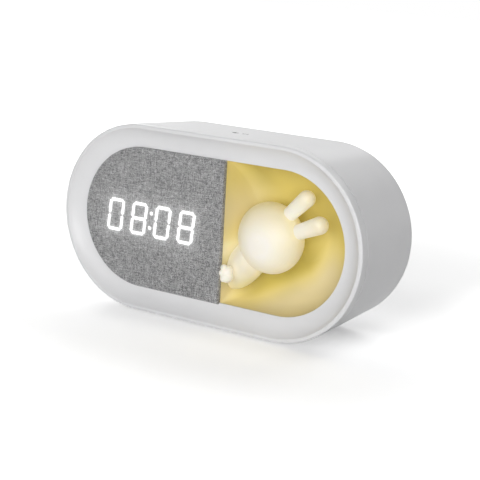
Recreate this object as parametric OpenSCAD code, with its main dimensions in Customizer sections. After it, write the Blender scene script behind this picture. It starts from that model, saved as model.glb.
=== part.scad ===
// Oblong bedside alarm clock with a cloth-covered display and a scooped night light holding a rabbit lamp.
// The clock stands on its feet at z = 0, centred on X and Y, with its face towards -Y. Millimetres.
// "Depth" is measured from the front lip towards the back; "oblong" is a rectangle with half-round ends.

/* [Body] */
// Overall width
body_w = 186.8; // [180:0.1:210]
// Height of the oblong, without the feet
body_h = 100; // [98:1:112]
// Overall depth, from the front lip to the back rim
body_d = 59; // [57:1:72]
// Wall of the casing
wall = 2.4; // [2:0.1:2.8]
// How much the outline draws in all round from the front to the back
back_inset = 2.8; // [1.5:0.1:3.2]
// Radius of the back edge
back_round = 2.5; // [1.5:0.1:2.8]
// Radius of a rubber foot
foot_r = 5; // [3.5:0.5:6]
// Height of the lip above the table
foot_rise = 0.8; // [0.5:0.1:3]
// Depth of the feet's sockets in the casing
foot_socket = 1; // [0.8:0.1:1.2]

/* [Front ring] */
// Width of the ring, from the outside to the opening
ring_w = 12.5; // [12:0.1:13]
// Depth of the ring's plain side, where its joint with the casing lies
ring_side = 5.6; // [5:0.1:5.8]
// Radius of the lip's outer edge
lip_round = 0.8; // [0.4:0.1:1.2]
// Width of the lip's flat crest
lip_flat = 1.3; // [0.8:0.1:2]
// Depth at which the hollow slope meets the opening
slope_d = 4.9; // [4.6:0.1:5.2]
// Thickness of the ring at the opening
ring_edge = 1; // [0.8:0.1:1.4]
// Thickness of the tongue that goes inside the casing
tongue_t = 1.4; // [1:0.1:1.6]

/* [Front frame] */
// Thickness of the frame behind the ring
frame_t = 3; // [2.6:0.1:3.6]
// Radius of the ring's screw bosses
front_boss_r = 2.8; // [2.4:0.1:3]
// Turn of the outer screws up and down the round ends
front_screw_turn = 38; // [34:1:42]
// Thickness of the casing's screw lugs
lug_t = 2.5; // [2:0.1:3]

/* [Cloth panel] */
// Place of the panel's straight edge, right of the middle
panel_right = 8.7; // [7:0.1:10]
// How far the cloth stands out of the slope's foot
panel_proud = 1.8; // [1.4:0.1:2.4]
// How far the panel's outline goes past the opening
panel_over = 0.3; // [0.3:0.05:0.6]
// Drop of the panel's middle under the body's middle
panel_drop = 0.3; // [0:0.05:0.35]
// Thickness of the cloth
cloth_t = 0.8; // [0.5:0.1:1]
// Radius of the cloth's folded edge
cloth_round = 1; // [0.5:0.1:1.2]
// Radius of the carrier's pegs
peg_r = 1.5; // [1.2:0.1:1.8]

/* [Display] */
// Height of a digit
digit_h = 18; // [16:0.5:18.5]
// Width of a digit
digit_w = 10.5; // [9:0.1:11]
// Distance from one digit to the next
digit_pitch = 15.6; // [14.5:0.1:16.2]
// Lean of the digits in degrees
digit_slant = 6; // [0:1:8]
// Width of a segment
stroke = 1.9; // [1.4:0.1:2.2]
// Gap between the ends of two segments
segment_gap = 0.5; // [0.3:0.1:0.8]
// Radius of a colon dot
dot_r = 0.95; // [0.8:0.05:1.4]
// Height of each colon dot over and under the middle of the digits
dot_rise = 4; // [3:0.1:5]
// Shift of the display from the middle of the panel
display_shift = -0.5; // [-2:0.1:1]
// Drop of the digits' middle under the body's middle
display_drop = 0.9; // [-1:0.1:2]
// Margin of the reflector round the digits
reflector_margin = 2; // [1:0.1:2.4]
// Depth of the reflector block
reflector_d = 7.4; // [7:0.1:8.5]
// Side of a light chip
chip_led = 1.2; // [0.8:0.1:1.4]
// Thickness of the circuit boards
board_t = 1.6; // [1:0.1:1.8]

/* [Night light] */
// Depth of the scoop behind the ring
bowl_d = 24; // [22:0.5:25]
// Radius of the scoop's flat floor
bowl_floor_r = 14; // [12:0.5:15]
// Width over which the scoop's straight side rounds into its floor
bowl_side_round = 9.6; // [8:0.1:9.8]
// Wall of the scoop
bowl_wall = 1.8; // [1.4:0.1:2]
// Width of the scoop's flange
flange_w = 2.8; // [2:0.1:3]
// Thickness of the scoop's flange
flange_t = 1.5; // [1.2:0.1:1.6]
// Wall of the rabbit's mouldings
rabbit_wall = 1.6; // [1.2:0.1:2]
// Radius of the rabbit's head, seen from the front
head_r = 18.7; // [17:0.1:19]
// Half of the head's thickness
head_half_d = 12.4; // [11:0.1:12.6]
// Distance of the head's middle from the panel's edge
head_from_panel = 23.5; // [22.5:0.1:24]
// Drop of the head's middle under the body's middle
head_drop = 0.4; // [-1:0.1:2]
// Depth of the head's middle
head_depth = 14.5; // [14:0.1:15]
// Radius of the head's neck
neck_r = 9.6; // [8:0.1:10]
// Length of an ear outside the head
ear_len = 18.5; // [17:0.1:20]
// Radius of the slimmer ear near its tip
ear_r = 4.4; // [3.5:0.1:4.6]
// Radius of the wider ear near its tip
wide_ear_r = 4.6; // [3.8:0.1:4.8]
// Part of its tip's radius that an ear has at its root
ear_narrow = 0.85; // [0.8:0.01:0.9]
// The same for its fuller middle
ear_full = 1.07; // [1:0.01:1.1]
// Half length of the rabbit's body
torso_half = 18.6; // [18:0.1:19]
// Half thickness of the rabbit's body
torso_r = 9.5; // [9:0.1:10]
// Radius of the body's neck
torso_neck_r = 5; // [4:0.1:5.4]
// Radius of the foot's pad
paw_r = 3.4; // [3:0.1:3.6]
// Radius of a toe
toe_r = 1.7; // [1.4:0.1:1.8]
// Width of the lamp board
lamp_board_w = 40; // [38:1:42]
// Height of the lamp board
lamp_board_h = 44; // [42:1:46]
// Side of a lamp chip
lamp_chip = 2.8; // [2:0.1:3]

/* [Battery] */
// Diameter of the cell
cell_dia = 18.3; // [17:0.1:18.6]
// Length of the cell
cell_len = 65; // [60:1:66]
// Drop of the cell's axis under the body's middle
cell_drop = 28; // [27.5:0.1:29]
// Wall of the cell's holder
holder_t = 1.5; // [1.2:0.1:2]

/* [Speaker] */
// Side of the speaker's square flange
speaker_w = 40; // [36:1:42]
// Depth of the speaker
speaker_d = 17; // [15:0.5:20]
// Radius of the speaker's magnet
magnet_r = 11; // [9:0.5:13]
// Radius of the cone
cone_r = 17; // [14:0.5:17]
// Distance of the speaker's middle from the middle of the round end
speaker_in = 1.4; // [0:0.1:3]
// Radius of a grille hole
grille_hole_r = 0.9; // [0.6:0.1:1.1]
// Distance between the grille's rings of holes
grille_pitch = 4; // [3:0.1:4.2]
// Rings of holes round the middle one
grille_rings = 3; // [1:1:3]

/* [Rear cover] */
// Width of the casing's rim round the cover
rim_w = 5; // [4.5:0.1:5.5]
// Thickness of the cover
cover_t = 2.2; // [1.8:0.1:2.6]
// Depth of the cover's face inside the rim
cover_inset = 1.2; // [0.8:0.1:1.6]
// Width of the ledge that the cover rests on
ledge_w = 2.7; // [2.4:0.1:3]
// Radius of the casing's screw posts
post_r = 3.4; // [3:0.1:3.8]
// Length of the casing's screw posts
post_len = 12; // [10:1:14]
// Turn of the cover's screws up and down the round ends
cover_screw_turn = 42; // [38:1:46]

/* [Controls] */
// Radius of a key
key_r = 3.6; // [3:0.1:4]
// Travel of a key
key_travel = 0.5; // [0.3:0.1:0.6]
// Distance between keys
key_pitch = 14; // [13:0.5:15]
// How far a key stands out of the cover
key_proud = 0.7; // [0.4:0.1:0.8]
// Travel of the power slider
slider_travel = 3; // [2:0.1:3.4]
// Width of the slider's grip
grip_w = 4; // [3:0.1:4.4]
// Height of the slider's grip
grip_h = 3; // [2.4:0.1:3.4]
// Width of the charging socket
usb_w = 8.9; // [8.4:0.1:9.2]
// Height of the charging socket
usb_h = 3.2; // [3:0.1:3.4]

/* [Fasteners] */
// Radius of the screws that hold the front and the cover
screw_r = 1.1; // [0.9:0.05:1.2]
// Radius of their heads
head_of_screw_r = 2.1; // [1.8:0.1:2.3]
// Radius of the small board screws
small_screw_r = 0.9; // [0.7:0.05:1]
// Radius of their heads
small_head_r = 1.7; // [1.4:0.1:1.9]
// Height of all screw heads
screw_head_t = 1.2; // [1:0.1:1.4]

/* [Hidden] */
$fn = 96;

// Clearances: a slip fit, a screw in its pilot hole, a hole that a screw passes, the body's joint line
fit = 0.1;
snug = 0.02;
pass = 0.2;
seam_gap = 0.3;

// Outline and levels of the body
big_r = body_h / 2;
spine = (body_w - body_h) / 2;
mid_z = foot_rise + big_r;
seam = ring_side + seam_gap;
mouth_r = big_r - ring_w;
straight_d = body_d - back_round;
ring_back = slope_d + ring_edge;
frame_back = ring_back + frame_t;
tongue_out = outer_r(frame_back) - wall - fit;
tongue_in = tongue_out - tongue_t;
frame_r = tongue_in - fit;
lug_back = frame_back + lug_t;
draft = atan(back_inset / (straight_d - seam));
cover_face = body_d - cover_inset;
cover_seat = cover_face - cover_t;
back_r = big_r - back_inset;
cover_r = back_r - rim_w;
ledge_r = cover_r - ledge_w;

// Touch key on the casing's top
touch_x = 3.5;
touch_depth = 25;
pad_w = 20;
pad_d = 14;
pad_t = 0.3;
pad_under = outer_r(touch_depth) - wall - pad_t;

// Screw places
square_corners = [[-1, -1], [1, -1], [-1, 1], [1, 1]];
front_screw_ring = frame_r - front_boss_r - 0.8;
cover_screw_ring = ledge_r - 0.8;
boss_skin = 0.9;
lug_r = head_of_screw_r + 0.6;

// Cloth panel and display
panel_face = slope_d - panel_proud;
panel_r = mouth_r + panel_over;
carrier_face = panel_face + cloth_t;
carrier_right = panel_right - cloth_t;
carrier_r = panel_r - cloth_t;
display_x = (panel_right - spine - panel_r) / 2 + display_shift;
digit_x = [-1.5, -0.5, 0.5, 1.5] * digit_pitch;
display_w = 3 * digit_pitch + digit_w + digit_h * tan(digit_slant);
reflector_w = display_w + 2 * reflector_margin;
reflector_h = digit_h + 2 * reflector_margin;
reflector_back = carrier_face + reflector_d;
led_t = 0.8;
display_post_r = 2.3;
display_post_x = reflector_w / 2 + display_post_r / 2;
display_post_z = reflector_h / 2 + display_post_r + 0.3;
display_board_w = 2 * display_post_x + 5;
display_board_h = 2 * display_post_z + 4.4;

// Night light
bowl_left = panel_right;
bowl_r = mouth_r + fit;
bowl_floor = ring_back + bowl_d;
bowl_back = bowl_floor + bowl_wall;
flange_r = bowl_r + flange_w;
head_x = panel_right + head_from_panel;
neck_seat_r = neck_r + 1;
lamp_face = bowl_back + 1.5;
lamp_post_r = 2.2;
torso_x = head_x - 15;
torso_z = -head_drop - 15.4;
torso_depth = 17;
torso_lean = 54;
torso_gap = 0.3;
torso_neck = [head_x, -head_drop] - [10.5, 15.7];
paw_x = panel_right + paw_r + 1.1;
paw_z = -21;
paw_depth = paw_r + 0.6;
paw_tall = 1.2;
toe_x = panel_right + toe_r + 1.15;
toe_z = -20.4;
toe_depth = toe_r + 0.45;
toe_step = 3;
ear_depth = 12;
ear_root = head_r - 0.9;
ear_root_turns = [51.2, 19.5];
ear_turns = [44.9, 23.9];
ear_rs = [ear_r, wide_ear_r];
lamp_x = head_x - 5.5;
lamp_z = -head_drop - 7;
lamp_chip_ring = 4.6;
lamp_corner = [lamp_board_w, lamp_board_h] / 2 - [3.4, 3.4];
lamp_posts = [[-lamp_corner[0], lamp_corner[1]], lamp_corner, [lamp_corner[0], -lamp_corner[1]]];

// Battery
cell_r = cell_dia / 2;
cell_gap = 4.5;
cell_x = bowl_left - bowl_wall - cell_gap - cell_len / 2;
cell_depth = frame_back + holder_t + 0.6 + cell_r;
contact_t = 0.3;
holder_half = cell_len / 2 + contact_t;
holder_screws_at = [for (s = [-1, 1]) [cell_x + s * cell_len * 3 / 8, -cell_drop - s * cell_r * 0.6]];
holder_end_top = cell_depth + cell_r * 0.6;
saddle_top = cell_depth + cell_r * 0.3;
saddle_w = 3;
contact_w = 6;

// Speaker
speaker_x = spine - speaker_in;
speaker_z = 0;
gasket_t = 1;
speaker_face = cover_seat - gasket_t;
speaker_flange_t = 1;
speaker_hole = speaker_w / 2 - 3;
magnet_t = 6;
can_wall = 0.8;
cone_drop = 2.6;
paper_t = 0.6;
basket_back = speaker_face - speaker_d + magnet_t;

// Rear electronics
board_face = cover_seat - 4.6;
board_front = board_face - board_t;
board_x = 15;
board_z = 2;
board_w = 60;
board_h = 44;
board_post_r = 2.4;
key_z = 13;
key_x0 = board_x - 1.5 * key_pitch;
key_flange_r = key_r + 0.9;
key_flange_t = 0.9;
plunger_r = 1.7;
switch_w = 6;
switch_t = 3;
switch_floor = 0.5;
shutter_t = 0.9;
stem_w = 2;
usb_x = 2;
slider_x = 27;
low_row_z = -11;
reset_x = 14;
reset_r = 0.8;
plug_w = 6;
plug_h = 5;
plug_t = 3;
plug_margin = 7;
speaker_plug = [board_x - board_w / 2 + plug_margin, 7];
battery_plug = [board_x - board_w / 2 + plug_margin, -10];
lamp_plug = [28, -10];
// Chips on the board as [x, z, width, height, thickness] about the board's middle
chips = [[0, 0, 10, 10, 1.4], [14, 4, 6, 5, 1.2], [-13, -12, 5, 4, 1.2]];

// Routes of the leads as [x, depth, height over the middle]; each ends in its plug or on its solder joint
lead_r = 0.6;
lead_pair = 1.5;
lead_gap = 0.05;
lead_level = board_front - 8;
plug_in = board_front - plug_t + 0.6;
lead_out_x = -speaker_x + speaker_w / 2 - 1;
lead_run = speaker_plug[0] - lead_out_x;
speaker_route = concat([[lead_out_x, speaker_face - speaker_flange_t - lead_gap, 5],
    [lead_out_x + 0.4, speaker_face - speaker_flange_t - 2.6, 5.5],
    [lead_out_x + lead_run * 0.2, lead_level + 4.6, 8],
    [lead_out_x + lead_run / 2, lead_level + 1.1, 9], [lead_out_x + lead_run * 0.8, lead_level, 9]],
    into_plug(speaker_plug));
plus_x = cell_x + holder_half + lead_r + lead_gap;
lead_over = cell_depth + cell_r + 1.8;
plus_route = concat([[plus_x, holder_end_top + 0.8, -cell_drop], [plus_x, lead_over, -cell_drop],
    [0, lead_over + 3.4, -27], [-3, 37, -23], [-6, 39.5, -17]], into_plug(battery_plug + [1, 0]));
minus_x = cell_x - holder_half - lead_r - lead_gap;
minus_route = concat([[minus_x, holder_end_top + 0.8, -cell_drop], [minus_x, lead_over, -cell_drop],
    [-60.5, lead_over + 2.6, -28], [-54, lead_over + 3.2, -27], [-42, lead_over + 3, -26],
    [-28, lead_over + 4, -25], [-17, 38, -20], [-10, 40, -12]], into_plug(battery_plug - [1, 0]));
lamp_back = lamp_face + board_t;
lamp_route = concat([[30, lamp_back + lead_gap, -24], [30, lamp_back + 1.6, -24], [29.6, lamp_back + 3.8, -22],
    [28.6, (lamp_back + plug_in) / 2 + 0.4, -15]], into_plug(lamp_plug));
board_top = board_z + board_h / 2;
touch_route = [[touch_x + 2.5, touch_depth + 1, pad_under - 0.1],
    [touch_x + 2.7, touch_depth + 1.6, pad_under - 1.6], [9, 31, pad_under - 4.2], [13, 38, pad_under - 10],
    [15.6, 44, board_top + 2.6], [16, board_front - 2.4, board_top - 1.4],
    [16, board_front - lead_gap, board_top - 1.6]];
ribbon_x = board_x - board_w / 2 + 5;
ribbon_w = 8;
ribbon_t = 0.6;
ribbon_z = 14;
ribbon_bend = 5;

// Colours
shell_white = [0.93, 0.93, 0.94];
inner_white = [0.86, 0.86, 0.87];
cloth_grey = [0.58, 0.58, 0.59];
glow_white = [1, 1, 1];
warm_yellow = [0.83, 0.71, 0.38];
cream = [0.96, 0.93, 0.83];
board_green = [0.1, 0.38, 0.22];
steel = [0.72, 0.73, 0.75];
dark = [0.13, 0.13, 0.14];
mid_grey = [0.45, 0.45, 0.47];
copper = [0.8, 0.5, 0.3];
red = [0.75, 0.12, 0.1];

// Outer radius of the casing at a depth
function outer_r(d) = big_r - back_inset * (d - seam) / (straight_d - seam);
// Points of an arc of an ellipse about a centre
function arc(c, rx, ry, from, to, n) =
    [for (i = [0 : n]) let (a = from + (to - from) * i / n) c + [rx * cos(a), ry * sin(a)]];
// Points on the round ends of the oblong, the same on both sides and both ways up
function four_corners(r, turn) =
    [for (sx = [-1, 1], sz = [-1, 1]) [sx * (spine + r * cos(turn)), sz * r * sin(turn)]];
front_screws_at = concat(four_corners(front_screw_ring, front_screw_turn),
    [[0, front_screw_ring], [0, -front_screw_ring]]);
cover_screws_at = four_corners(cover_screw_ring, cover_screw_turn);

// Lets children be drawn as seen from the front, x right and y up, at a depth
module at(depth) {
    translate([0, depth - body_d / 2, mid_z]) rotate([90, 0, 0]) children();
}

// Flat plate of the outline drawn by its children, between two depths
module plate(from, to) {
    at(to) linear_extrude(to - from) children();
}

// Round bar along the depth
module pin(place, r, from, to) {
    at(to) translate(place) cylinder(r = r, h = to - from);
}

// Box by its middle seen from the front, its size, and its depths
module block(place, size, from, to) {
    plate(from, to) translate(place) square(size, center = true);
}

// Body turned about an axis along the depth, from a profile of [radius, depth]
module turned(place) {
    translate([place[0], -body_d / 2, mid_z + place[1]]) rotate([-90, 0, 0]) rotate_extrude() children();
}

// Carries a profile of [distance from the spine, depth] round the oblong
module swept() {
    translate([0, -body_d / 2, mid_z]) rotate([-90, 0, 0]) {
        for (side = [0, 1]) mirror([side, 0, 0]) {
            translate([spine, 0, 0]) rotate([0, 0, -90]) rotate_extrude(angle = 180) children();
        }
        for (side = [0, 1]) mirror([0, side, 0]) {
            translate([-spine, 0, 0]) rotate([90, 0, 90]) linear_extrude(2 * spine) children();
        }
    }
}

// Solid oblong plate between two depths
module oblong(r, from, to) {
    swept() translate([0, from]) square([r, to - from]);
}

// Everything left of a place, or right of it, over the whole body
module left_of(x, from, to) {
    block([x - body_w, 0], [2 * body_w, 2 * body_h], from, to);
}

module right_of(x, from, to) {
    block([x + body_w, 0], [2 * body_w, 2 * body_h], from, to);
}

// Moves its children down to the panel's middle
module lowered() {
    translate([0, 0, -panel_drop]) children();
}

// Screw with its head at the front or the back end of its shank
module screw(place, r, head, from, to, head_behind) {
    pin(place, r, from, to);
    if (head_behind) {
        pin(place, head, to, to + screw_head_t);
    } else {
        pin(place, head, from - screw_head_t, from);
    }
}

// Draws its children on the sloping top of the casing, their height being the distance out of it
module on_top(x, depth) {
    translate([x, depth - body_d / 2, mid_z + outer_r(depth)]) rotate([-draft, 0, 0]) children();
}

// Smooth curve through a list of points
function blend(a, b, c, d, t) =
    (2 * b + (c - a) * t + (2 * a - 5 * b + 4 * c - d) * t ^ 2 + (3 * b - a - 3 * c + d) * t ^ 3) / 2;
function route(p, steps) = concat(
    [for (i = [0 : len(p) - 2], s = [0 : steps - 1])
        blend(p[max(i - 1, 0)], p[i], p[i + 1], p[min(i + 2, len(p) - 1)], s / steps)],
    [p[len(p) - 1]]);
function unit(v) = v / norm(v);
// Last points of a lead, straight into its plug
function into_plug(p) = [for (d = [3, 1.2, 0]) [p[0], plug_in - d, p[1]]];

// Round lead along points of [x, depth, height]; across is a direction that no stretch of it follows
module lead(points, r, across) {
    path = route(points, 4);
    last = len(path) - 1;
    sides = 8;
    rings = [for (i = [0 : last])
        let (along = unit(path[min(i + 1, last)] - path[max(i - 1, 0)]),
            side = unit(cross(along, across)),
            up = cross(side, along))
        for (k = [0 : sides - 1]) path[i] + r * (cos(360 * k / sides) * side + sin(360 * k / sides) * up)];
    walls = [for (i = [0 : last - 1], k = [0 : sides - 1])
        [i * sides + k, (i + 1) * sides + k, (i + 1) * sides + (k + 1) % sides, i * sides + (k + 1) % sides]];
    caps = [[for (k = [0 : sides - 1]) k], [for (k = [sides - 1 : -1 : 0]) last * sides + k]];
    translate([0, -body_d / 2, mid_z]) polyhedron(rings, concat(walls, caps));
}

// Two leads side by side
module lead_twins(points, apart, across) {
    for (s = [-1, 1]) lead([for (p = points) p + s * apart], lead_r, across);
}

/* ---- Front ---- */

// Ring with a hollow slope, a tongue inside the casing and bosses for the front screws
module front_bezel() {
    slope_w = ring_w - lip_round - lip_flat;
    slope_r = (slope_w ^ 2 + slope_d ^ 2) / (2 * slope_d);
    color(shell_white) difference() {
        union() {
            swept() difference() {
                polygon(concat(
                    [[mouth_r, ring_back], [mouth_r, 0]],
                    arc([big_r - lip_round, lip_round], lip_round, lip_round, -90, 0, 6),
                    [[big_r, ring_side], [tongue_out, ring_side], [tongue_out, frame_back - fit],
                    [tongue_in, frame_back - fit], [tongue_in, ring_back]]));
                translate([mouth_r, slope_d - slope_r]) circle(slope_r);
            }
            for (p = front_screws_at) pin(p, front_boss_r, slope_d, frame_back);
        }
        for (p = front_screws_at) pin(p, screw_r + snug, slope_d + boss_skin / 2, frame_back + 1);
        lowered() intersection() {
            oblong(panel_r + 0.15, -1, ring_back);
            left_of(panel_right, -1, ring_back);
        }
    }
}

// Plate behind the ring that carries the cloth panel, the display, the scoop and the battery
module front_frame() {
    color(inner_white) difference() {
        union() {
            oblong(frame_r, ring_back, frame_back);
            for (sx = [-1, 1], sz = [-1, 1]) {
                pin([display_x + sx * display_post_x, sz * display_post_z - display_drop],
                    display_post_r, ring_back, reflector_back);
            }
        }
        for (p = front_screws_at) pin(p, front_boss_r + fit, ring_back - 1, frame_back + 1);
        block([display_x, -display_drop], [reflector_w, reflector_h] + [2, 2] * fit,
            ring_back - 1, frame_back + 1);
        bowl_outline(bowl_r + bowl_wall + pass, bowl_left - bowl_wall - pass, ring_back - 1, frame_back + 1);
        bowl_outline(flange_r + fit, bowl_left - flange_w - fit, ring_back - 1, ring_back + flange_t);
        for (sx = [-1, 1], sz = [-1, 1]) {
            pin([display_x + sx * display_post_x, sz * display_post_z - display_drop],
                small_screw_r + snug, ring_back + 1, reflector_back + 1);
        }
        for (p = carrier_pegs()) pin(p, peg_r + snug, ring_back - 1, frame_back + 1);
        for (p = holder_screws_at) pin(p, small_screw_r + snug, ring_back + 0.6, frame_back + 1);
    }
}

// D-shaped plate: an oblong's right-hand end, with a straight left side
module bowl_outline(r, left, from, to) {
    intersection() {
        oblong(r, from, to);
        right_of(left, from, to);
    }
}

module front_screws() {
    color(steel) for (p = front_screws_at) {
        screw(p, screw_r, head_of_screw_r, slope_d + boss_skin, lug_back, true);
    }
}

/* ---- Cloth panel and display ---- */

// Pegs of the carrier: two over and two under the display
function carrier_pegs() = [for (sx = [-1, 1], sz = [-1, 1])
    [display_x + sx * digit_pitch, sz * (mouth_r - 10) - display_drop]];

// Cloth wrapped over the front and the edges of its carrier, open where the light bars shine through
module fabric_panel() {
    color(cloth_grey) difference() {
        lowered() intersection() {
            swept() polygon(concat([[0, ring_back], [0, panel_face]],
                arc([panel_r - cloth_round, panel_face + cloth_round], cloth_round, cloth_round, -90, 0, 4),
                [[panel_r, ring_back]]));
            translate([0, -body_d / 2, mid_z - body_h]) linear_extrude(2 * body_h) polygon(concat(
                [[-body_w, ring_back], [-body_w, panel_face]],
                arc([panel_right - cloth_round, panel_face + cloth_round], cloth_round, cloth_round, -90, 0, 4),
                [[panel_right, ring_back]]));
        }
        carrier_outline(carrier_face, ring_back + 1);
        light_bars(panel_face - 1, ring_back);
        colon_bars(panel_face - 1, ring_back);
    }
}

module carrier_outline(from, to) {
    lowered() intersection() {
        oblong(carrier_r, from, to);
        left_of(carrier_right, from, to);
    }
}

// Stiff board inside the cloth, with a window for the display and pegs into the frame
module panel_carrier() {
    color(inner_white) {
        difference() {
            carrier_outline(carrier_face, ring_back);
            block([display_x, -display_drop], [reflector_w, reflector_h] + [2, 2] * fit,
                carrier_face - 1, ring_back + 1);
        }
        for (p = carrier_pegs()) pin(p, peg_r, ring_back, frame_back);
    }
}

// Outline of a bar with pointed ends, lying or standing, leant by the slant of the digits
function bar(c, half, upright) =
    let (tip = half - segment_gap / 2, e = stroke / 2,
        flat = [[-tip, 0], [e - tip, e], [tip - e, e], [tip, 0], [tip - e, -e], [e - tip, -e]])
    [for (p = flat) let (q = c + (upright ? [p[1], p[0]] : p)) [q[0] + q[1] * tan(digit_slant), q[1]]];

// The seven bars of each digit
module light_bars(from, to) {
    reach_x = (digit_w - stroke) / 2;
    reach_z = (digit_h - stroke) / 2;
    for (x = digit_x) {
        plate(from, to) translate([display_x + x, -display_drop]) {
            for (z = [-1, 0, 1]) polygon(bar([0, z * reach_z], reach_x, false));
            for (sx = [-1, 1], sz = [-1, 1]) {
                polygon(bar([sx * reach_x, sz * reach_z / 2], reach_z / 2, true));
            }
        }
    }
}

module colon_bars(from, to) {
    for (s = [-1, 1]) {
        pin([display_x + s * dot_rise * tan(digit_slant), s * dot_rise - display_drop], dot_r, from, to);
    }
}

// Middles of the seven bars of one digit
function bar_middles() =
    let (rx = (digit_w - stroke) / 2, rz = (digit_h - stroke) / 2,
        square_ones = concat([for (z = [-1, 0, 1]) [0, z * rz]],
            [for (sx = [-1, 1], sz = [-1, 1]) [sx * rx, sz * rz / 2]]))
    [for (p = square_ones) [p[0] + p[1] * tan(digit_slant), p[1]]];

// Block with one shaft for each light bar
module display_reflector() {
    color(glow_white) difference() {
        block([display_x, -display_drop], [reflector_w, reflector_h], carrier_face, reflector_back);
        light_bars(carrier_face - 1, reflector_back + 1);
        colon_bars(carrier_face - 1, reflector_back + 1);
    }
}

// Light bars of the four digits, flush with the cloth
module digit_segments() {
    color(glow_white) light_bars(panel_face, reflector_back - led_t);
}

module colon_dots() {
    color(glow_white) colon_bars(panel_face, reflector_back - led_t);
}

// One light chip behind each bar and dot
module display_leds() {
    color(warm_yellow) {
        for (x = digit_x, p = bar_middles()) {
            block([display_x + x, -display_drop] + p, [chip_led, chip_led],
                reflector_back - led_t, reflector_back);
        }
        for (s = [-1, 1]) {
            block([display_x + s * dot_rise * tan(digit_slant), s * dot_rise - display_drop],
                [chip_led, chip_led], reflector_back - led_t, reflector_back);
        }
    }
}

module display_board() {
    color(board_green) difference() {
        block([display_x, -display_drop], [display_board_w, display_board_h],
            reflector_back, reflector_back + board_t);
        for (sx = [-1, 1], sz = [-1, 1]) {
            pin([display_x + sx * display_post_x, sz * display_post_z - display_drop],
                small_screw_r + fit, reflector_back - 1, reflector_back + board_t + 1);
        }
    }
}

module display_screws() {
    color(steel) for (sx = [-1, 1], sz = [-1, 1]) {
        screw([display_x + sx * display_post_x, sz * display_post_z - display_drop], small_screw_r,
            small_head_r, ring_back + 1.4, reflector_back + board_t, true);
    }
}

/* ---- Night light ---- */

// Room inside the scoop, grown by a wall; its two long roundings meet in a crease at each left corner
module scoop(grow, from) {
    intersection() {
        swept() polygon(concat([[0, from], [bowl_r + grow, from]],
            arc([bowl_floor_r, ring_back], bowl_r + grow - bowl_floor_r, bowl_d + grow, 0, 90, 12),
            [[0, bowl_floor + grow]]));
        translate([0, -body_d / 2, mid_z - body_h]) linear_extrude(2 * body_h) polygon(concat(
            [[body_w, bowl_floor + grow], [body_w, from], [bowl_left - grow, from]],
            arc([bowl_left + bowl_side_round, ring_back], bowl_side_round + grow, bowl_d + grow, 180, 90, 12)));
    }
}

// Scooped reflector with a flange behind the ring, sockets for the rabbit and posts for the lamp board
module night_light_bowl() {
    color(warm_yellow) difference() {
        union() {
            scoop(bowl_wall, ring_back);
            bowl_outline(flange_r, bowl_left - flange_w, ring_back, ring_back + flange_t);
            for (p = lamp_posts) pin(lamp_place(p), lamp_post_r, bowl_floor - 8, lamp_face);
        }
        scoop(0, ring_back - 1);
        for (p = front_screws_at) pin(p, front_boss_r + fit, ring_back - 1, frame_back + 1);
        pin([head_x, -head_drop], neck_r + snug, bowl_floor - 1, bowl_back + 1);
        pin(torso_neck, torso_neck_r + snug, bowl_floor - 8, bowl_back + 1);
        for (p = lamp_posts) pin(lamp_place(p), small_screw_r + snug, bowl_back - 0.6, lamp_face + 1);
    }
}

function lamp_place(p) = [lamp_x, lamp_z] + p;

// Outline of the head's moulding by its half thickness, radius and neck
module head_profile(r, half, neck, to) {
    turn = acos(neck / r);
    polygon(concat([[0, head_depth]], arc([0, head_depth], r, half, -90, turn, 22),
        [[neck, to], [0, to]]));
}

module head_solid(grow) {
    turned([head_x, -head_drop]) head_profile(head_r + grow, head_half_d + grow, neck_r, lamp_face);
}

// Hollow head on a neck that goes through the scoop's floor to the lamp board
module rabbit_head() {
    color(cream) difference() {
        union() {
            head_solid(0);
            pin([head_x, -head_drop], neck_seat_r, bowl_floor - 1.2, bowl_floor);
        }
        turned([head_x, -head_drop]) head_profile(head_r - rabbit_wall, head_half_d - rabbit_wall,
            neck_r - rabbit_wall, lamp_face + 1);
    }
}

// One ear from the head's edge outwards: a blunt root, a fuller middle and a round tip
module ear(i) {
    tip = ear_rs[i];
    root = ear_narrow * tip;
    swell = ear_full * tip - (root + tip) / 2;
    place = [head_x, -head_drop] + ear_root * [cos(ear_root_turns[i]), sin(ear_root_turns[i])];
    at(ear_depth) translate(place) rotate([0, 90, ear_turns[i]]) rotate_extrude() polygon(concat(
        [[0, 0], [root - 1, 0]], arc([root - 1, 1], 1, 1, -90, 0, 4),
        [for (s = [1 : 7] / 8) [root + (tip - root) * s + 4 * swell * s * (1 - s), 1 + (ear_len - tip - 1) * s]],
        arc([0, ear_len - tip], tip, tip, 0, 90, 8)));
}

module rabbit_ears() {
    color(cream) difference() {
        for (i = [0, 1]) ear(i);
        head_solid(0.02);
    }
}

// Egg shape of the body, leaning, and drawn in by a wall
module torso(grow) {
    at(torso_depth) translate([torso_x, torso_z]) rotate([0, 90, torso_lean]) rotate_extrude()
        polygon(arc([0, 0], torso_r + grow, torso_half + grow, -90, 90, 24));
}

// The part of that shape that has room in the scoop
module torso_in_scoop(grow) {
    intersection() {
        torso(grow);
        scoop(grow - torso_gap, ring_back - 5);
    }
}

// Body behind the head, flattened where it meets the scoop, with a hollow neck through the scoop
module rabbit_body() {
    color(cream) difference() {
        union() {
            torso_in_scoop(0);
            pin(torso_neck, torso_neck_r, torso_depth, lamp_face);
        }
        torso_in_scoop(-rabbit_wall);
        pin(torso_neck, torso_neck_r - rabbit_wall, torso_depth, lamp_face + 1);
        head_solid(0.1);
    }
}

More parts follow.
